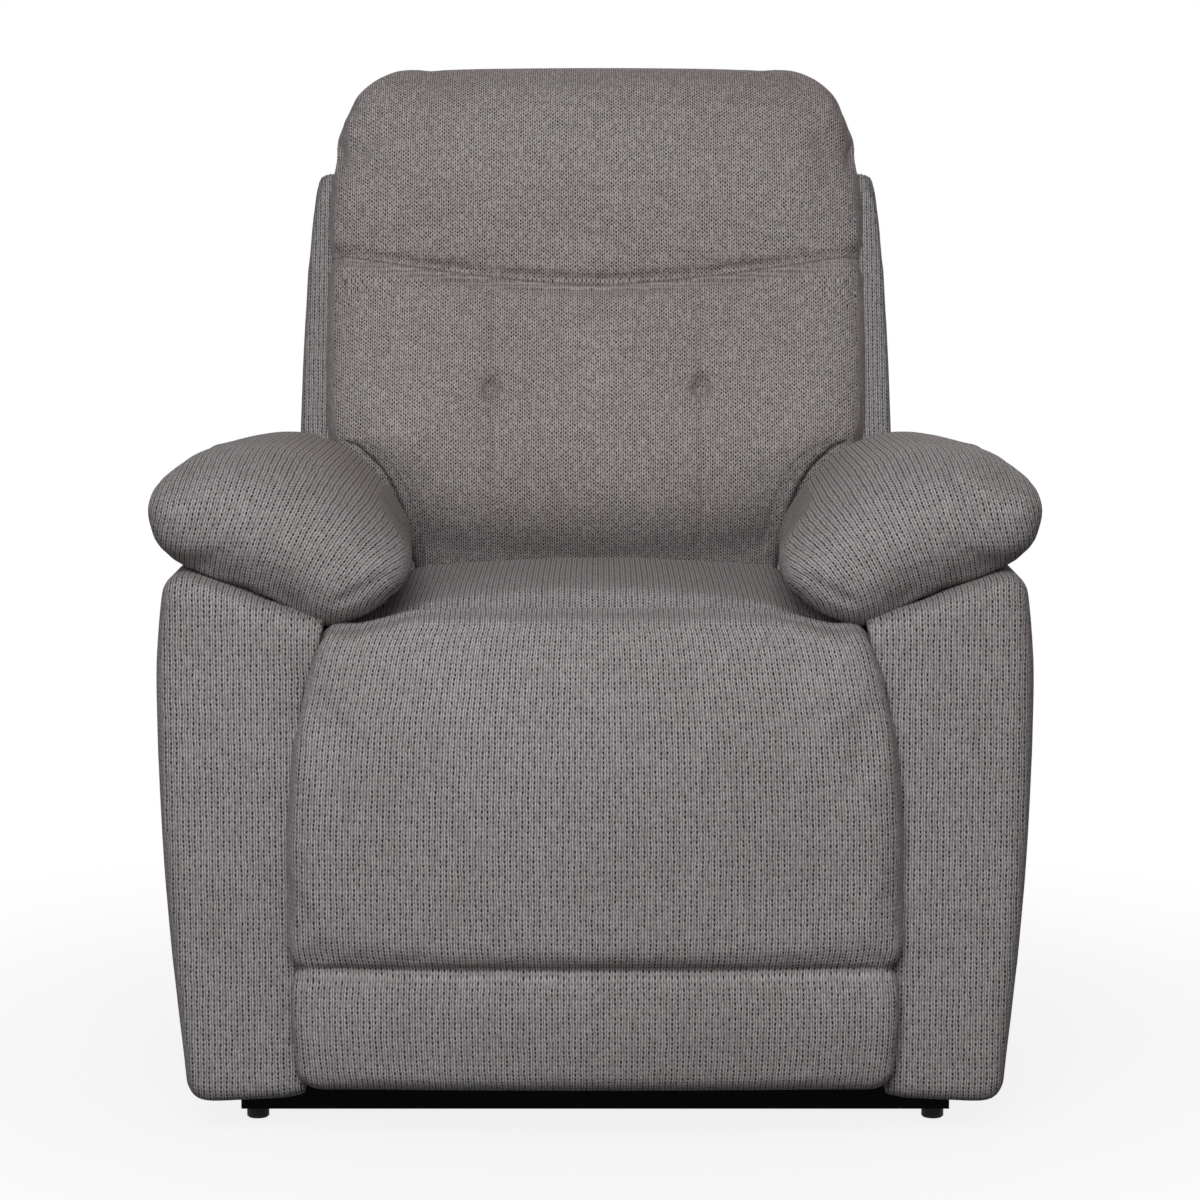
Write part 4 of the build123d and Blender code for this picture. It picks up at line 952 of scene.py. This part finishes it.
# Outside back, whose cover is drawn round the posts and the bottom rail
OUTSIDE_NODES = ["back_panel", "back_post_left", "back_post_right", "back_bottom_rail"]
OUTSIDE_WRAP = 0.004
OUTSIDE_WRAPPED = (-0.018, -0.008)
CREST_UP = (0.55, 0.6)
CREST_AHEAD = (-0.012, -0.022)
CREST_RISE = 0.010
CREST_WIDER = 0.02


def outside_back_cover():
    outside = soft_copy("outside_back_cover", OUTSIDE_NODES, 0.008, 4)
    refine(outside)
    ahead = to_back(get_points(outside))[2]
    press(outside, -OUTSIDE_WRAP * ramp(ahead, *OUTSIDE_WRAPPED))
    across, up, ahead = to_back(get_points(outside))
    crest = ramp(up, *CREST_UP) * ramp(ahead, *CREST_AHEAD)
    set_points(outside, from_back(across * (1 + CREST_WIDER * crest), up + CREST_RISE * crest, ahead))
    weave_straight(outside, FACING_BACK, BACK_KNIT)
    upholster(outside, back_knit, "back", ["back_panel"])


# Arms: the cover wraps the plywood and swells a little under the pad
ARM_FLAT = 0.2812                # place of the flat inner face
ARM_FLAT_NORMAL = (0.5, 0.75)
ARM_FLAT_OUT = (0.31, 0.295)
ARM_BULGE = 0.021                # of the inner upper front corner, under the pad's nose
BULGE_OUT = (0.32, 0.285)
BULGE_Y = (-0.322, -0.352)
BULGE_Z = (0.41, 0.505)
ARM_MIDDLE, ARM_HALF = 0.335, 0.065
ARM_SWELL = 0.005
ARM_SWOLLEN = (0.42, 0.5)
ARM_HANG = 0.008
ARM_HUNG = (0.13, 0.055)
ARM_WRAP = 0.009                 # past the rear edge of the plywood
ARM_WRAPPED = (0.04, 0.008)      # distances from the rear


def arm_swell(out):
    """Height of the swell on top of an arm, by the distance from the chair's middle."""
    return ARM_SWELL * np.maximum(0, 1 - ((out - ARM_MIDDLE) / ARM_HALF) ** 2)


def arm_cover(label, side):
    arm = soft_copy(f"arm_cover_{label}", [f"arm_body_{label}", f"arm_frame_{label}"], 0.006, 14)
    x, y, z = get_points(arm).T
    out = side * x
    inward = -side * get_normals(arm)[:, 0]
    out = out + (ARM_FLAT - out) * (ramp(inward, *ARM_FLAT_NORMAL) * ramp(out, *ARM_FLAT_OUT))
    out = out - ARM_BULGE * ramp(out, *BULGE_OUT) * ramp(z, *BULGE_Z) * ramp(y, *BULGE_Y)
    lift = arm_swell(out) * ramp(z, *ARM_SWOLLEN) - ARM_HANG * ramp(z, *ARM_HUNG)
    wrap = ARM_WRAP * ramp(y.max() - y, *ARM_WRAPPED)
    set_points(arm, np.stack([side * out, y + wrap, z + lift], axis=1))
    weave_straight(arm, UPRIGHT)
    upholster(arm, cover_knit, "seat_unit", [f"arm_body_{label}"])


# Overstuffed arm pads: the section of the CAD solid, rounded over a full nose
PAD_SECTION_Y = -0.024
PAD_CORE = np.array([[0.372, 0.606], [0.250, 0.552]])  # line inside the section, to which nose and tail run
PAD_SIDES = 96
PAD_NOSE, PAD_NOSE_OVER = 0.085, 0.07        # length of the nose, and how much longer it is over the top
PAD_NOSE_BLUNT, PAD_NOSE_ROUND = 2.9, 0.7    # exponent of its curve below, and how much rounder it is above
PAD_TAIL = 0.05
PAD_TAIL_POWER = 0.75
PAD_TAPER = (-0.26, 0.10)                    # the pad tapers between these places
TAPER_INNER, TAPER_INNER_BAND = 0.013, (0.30, 0.19)
TAPER_OUTER, TAPER_OUTER_BAND = 0.006, (0.33, 0.42)
TAPER_TOP, TAPER_TOP_BAND = 0.010, (0.57, 0.655)
PAD_BED, PAD_BED_SLOPE = (0.396, 0.5475), 0.398  # line of the arm's top, on which the pad lies
PAD_BEDDED = (-0.012, -0.004)
CREASE_BOTH = ((0.241, 0.525), (0.200, 0.546))
CREASE_RIGHT = ((0.342, 0.641), (0.366, 0.609))
CREASED = (-0.2, -0.26)

# Outline of a pad as it is seen from the front, on a plane through its nose
SIGHT_Y = -0.3
SIGHT_BINS = np.linspace(-math.pi, math.pi, 73)
SIGHT_REACH = 0.044              # angle around each bin in which the pad is measured
PAD_SIGHT = np.array([
    (0.306, 0.681), (0.330, 0.677), (0.353, 0.672), (0.375, 0.666), (0.394, 0.656), (0.408, 0.646),
    (0.421, 0.636), (0.429, 0.622), (0.434, 0.609), (0.434, 0.599), (0.432, 0.587), (0.429, 0.576),
    (0.422, 0.566), (0.414, 0.557), (0.395, 0.545), (0.374, 0.537), (0.342, 0.528), (0.314, 0.516),
    (0.294, 0.505), (0.278, 0.495), (0.262, 0.487), (0.245, 0.491), (0.225, 0.499), (0.207, 0.509),
    (0.191, 0.526), (0.181, 0.539), (0.178, 0.554), (0.176, 0.572), (0.180, 0.595), (0.195, 0.622),
    (0.214, 0.644), (0.234, 0.662), (0.253, 0.672), (0.283, 0.681),
])


def share_of(value, band):
    """Straight step over a band."""
    return np.clip((value - band[0]) / (band[1] - band[0]), 0, 1)


def pad_outline():
    """Section of the pad, evenly divided."""
    solid = get_points(nodes["arm_pad_right"])
    ring = solid[np.abs(solid[:, 1] - PAD_SECTION_Y) < 0.0005][:, [0, 2]]
    spoke = ring - PAD_CORE.mean(axis=0)
    ring = ring[np.argsort(np.arctan2(spoke[:, 1], spoke[:, 0]))]
    ring = np.vstack([ring, ring[:1]])
    length = lengths_along(ring)
    even = np.linspace(0, length[-1], PAD_SIDES + 1)[:-1]
    return np.stack([np.interp(even, length, ring[:, axis]) for axis in (0, 1)], axis=1)


def pad_rings(lean):
    """Size and place of each ring of the pad, from nose to tail, at each point of its section."""
    box_low, box_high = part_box("arm_pad_right")
    nose = PAD_NOSE + PAD_NOSE_OVER * ramp(lean, 0.0, 0.9)
    power = 2 / (PAD_NOSE_BLUNT - PAD_NOSE_ROUND * ramp(lean, -0.1, 0.5))
    start = box_low[1] + nose
    end = box_high[1] - PAD_TAIL
    full = np.ones(PAD_SIDES)
    rings = []
    for angle in np.linspace(0.0, math.pi / 2, 24):
        rings.append((math.sin(angle) ** power, start - nose * max(0.0, math.cos(angle)) ** power))
    for run in np.linspace(0.1, 0.9, 9):
        rings.append((full, start + (end - start) * run))
    for angle in np.linspace(math.pi / 2, 0.0, 16):
        tail = end + PAD_TAIL * max(0.0, math.cos(angle)) ** PAD_TAIL_POWER
        rings.append((full * math.sin(angle) ** PAD_TAIL_POWER, full * tail))
    return rings


def arm_pad(name):
    """Loft along the pad: a full nose that is longest over its top, a taper to the rear, and a round tail."""
    outline = pad_outline()
    spine = PAD_CORE[1] - PAD_CORE[0]
    share = np.clip((outline - PAD_CORE[0]) @ spine / (spine @ spine), 0, 1)
    core = PAD_CORE[0] + share[:, None] * spine
    lean = (outline - core)[:, 1] / np.linalg.norm(outline - core, axis=1)
    swell = arm_swell(outline[:, 0]) * (1 - ramp(lean, -0.3, 0.3))
    outline = outline + np.stack([0 * swell, swell], axis=1)
    rings = pad_rings(lean)
    points = []
    for size, y in rings:
        x, z = (core + size[:, None] * (outline - core)).T
        rear = share_of(y, PAD_TAPER)
        shift = TAPER_INNER * share_of(x, TAPER_INNER_BAND) - TAPER_OUTER * share_of(x, TAPER_OUTER_BAND)
        sink = TAPER_TOP * share_of(z, TAPER_TOP_BAND)
        points.append(np.stack([x + rear * shift, y, z - rear * sink], axis=1))
    return new_piece(name, np.concatenate(points), ring_faces(len(rings), PAD_SIDES))


def fit_sight(piece):
    """Eases a pad in or out around its middle until it fills its outline as seen from the front."""
    middle = PAD_SIGHT.mean(axis=0)
    eye = EYE[[0, 2]]
    closed = np.vstack([PAD_SIGHT, PAD_SIGHT[:1]]) - middle
    dense = np.concatenate([closed[:-1] + (closed[1:] - closed[:-1]) * part for part in np.arange(0, 1, 0.1)])
    turn = np.arctan2(dense[:, 1], dense[:, 0])
    order = np.argsort(turn)
    aim = np.interp(SIGHT_BINS, turn[order], np.hypot(*dense.T)[order], period=2 * math.pi)
    for _ in range(2):
        points = get_points(piece)
        share = (SIGHT_Y - EYE[1]) / (points[:, 1] - EYE[1])
        seen = eye + (points[:, [0, 2]] - eye) * share[:, None] - middle
        angle = np.arctan2(seen[:, 1], seen[:, 0])
        radius = np.hypot(*seen.T)
        gap = np.abs((angle[None, :] - SIGHT_BINS[:, None] + math.pi) % (2 * math.pi) - math.pi)
        reach = np.array([radius[near < SIGHT_REACH].max() for near in gap])
        ratio = (aim / reach)[:-1]
        ratio = (np.roll(ratio, 1) + 2 * ratio + np.roll(ratio, -1)) / 4
        seen *= np.interp(angle, SIGHT_BINS[:-1], ratio, period=2 * math.pi)[:, None]
        points[:, [0, 2]] = eye + (seen + middle - eye) / share[:, None]
        set_points(piece, points)


def crease(piece, line, depth, width):
    """Sinks a short fold into the nose of a pad, along a line seen from the front."""
    points = get_points(piece)
    start, end = np.array(line)
    run = end - start
    offset = points[:, [0, 2]] - start
    share = np.clip(offset @ run / (run @ run), 0, 1)
    apart = np.linalg.norm(offset - share[:, None] * run, axis=1)
    press(piece, depth * bell(apart, width) * ramp(points[:, 1], *CREASED))


def arm_pad_covers():
    pad = arm_pad("arm_pad_cover_right")
    remesh(pad, 0.0065, 4)
    x, _, z = get_points(pad).T
    bed = PAD_BED[1] + PAD_BED_SLOPE * (x - PAD_BED[0])
    puff(pad, ramp(bed - z, *PAD_BEDDED), cap=0.006, slack=0.01)
    refine(pad)
    fit_sight(pad)
    ease(pad, 3)
    crease(pad, CREASE_BOTH, depth=0.003, width=0.006)
    other = mirrored(pad, "arm_pad_cover_left")
    crease(pad, CREASE_RIGHT, depth=0.005, width=0.007)
    for piece, node in ((pad, "arm_pad_right"), (other, "arm_pad_left")):
        weave_fan(piece)
        upholster(piece, cover_knit, "seat_unit", [node])


seat_cover()
footrest_cover()
back = back_cover()
wing_covers()
outside_back_cover()
back_lips(back)
for label, side in (("left", -1), ("right", 1)):
    arm_cover(label, side)
arm_pad_covers()


# Floor, background and light
FLOOR_HALF = 30
FLOOR_FADE = (0.35, 1.3)         # distances over which the shadow fades to white
FLOOR_WHITE = (0.86, 1.0)        # share of white at these distances
AMBIENT_SIDE, AMBIENT_TOP = 0.29, 0.03


def floor_material():
    """Pale floor that keeps a soft shadow by the chair and fades to white away from it."""
    g = Graph(bpy.data.materials.new("floor"))
    g.tree.nodes.remove(g.shader)
    seen = g.looked_at()
    far = g.add("ShaderNodeVectorMath", operation="LENGTH")
    g.feed(far.inputs[0], g.place())
    white_share = g.ramp(far.outputs["Value"], *FLOOR_FADE, *FLOOR_WHITE)
    matt = g.add("ShaderNodeBsdfDiffuse")
    g.feed(matt.inputs["Color"], g.mix(seen, (0.06, 0.059, 0.058, 1), (0.75, 0.745, 0.74, 1)))
    glow = g.add("ShaderNodeEmission")
    g.show("Material Output", g.math("MULTIPLY", seen, white_share), matt.outputs[0], glow.outputs[0])
    return g.owner


def studio_world():
    """White where it is looked at; as light it is soft, and weaker from above than from the sides."""
    g = Graph(bpy.data.worlds.new("studio"))
    height = g.split(g.add("ShaderNodeTexCoord").outputs["Generated"])[2]
    dimming = g.add("ShaderNodeMapRange")
    g.set(dimming, {"Value": height, "To Min": AMBIENT_SIDE, "To Max": AMBIENT_TOP})
    ambient = g.tree.nodes["Background"]
    g.set(ambient, {"Color": (1, 0.93, 0.925, 1), "Strength": dimming.outputs[0]})
    white = g.add("ShaderNodeBackground")
    white.inputs["Color"].default_value = (1, 1, 1, 1)
    g.show("World Output", g.looked_at(), ambient.outputs[0], white.outputs[0])
    return g.owner


def soft_light(name, place, target, size, power, colour):
    data = bpy.data.lights.new(name, "AREA")
    data.shape = "SQUARE"
    data.size = size
    data.energy = power
    data.color = colour
    lamp = link_new(name, data)
    lamp.location = place
    aim = np.array(target) - np.array(place)
    heading = math.atan2(aim[0], -aim[1]) + math.pi
    lamp.rotation_euler = (math.acos(-aim[2] / np.linalg.norm(aim)), 0, heading)


corners = [(-FLOOR_HALF, -FLOOR_HALF, 0), (FLOOR_HALF, -FLOOR_HALF, 0),
           (FLOOR_HALF, FLOOR_HALF, 0), (-FLOOR_HALF, FLOOR_HALF, 0)]
floor = new_piece("floor", corners, [(0, 1, 2, 3)])
floor.data.materials.append(floor_material())
scene.world = studio_world()
soft_light("front_key", (-0.3, -3.0, 2.0), (0, 0, 0.6), size=1.6, power=75, colour=(0.97, 1, 1))
soft_light("rear_fill", (0.5, 3.8, 2.4), (0, 0, 0.6), size=2.6, power=55, colour=(1, 1, 1))

# Camera at the photograph's eye point
SENSOR = 36
FOCAL_LENGTH = 113.76
LOOK_DOWN = 6.84                 # degrees
lens = bpy.data.cameras.new("camera")
lens.sensor_width = SENSOR
lens.lens = FOCAL_LENGTH
camera = link_new("camera", lens)
camera.location = EYE
camera.rotation_euler = (math.radians(90 - LOOK_DOWN), 0, 0)
scene.camera = camera

bpy.context.view_layer.update()
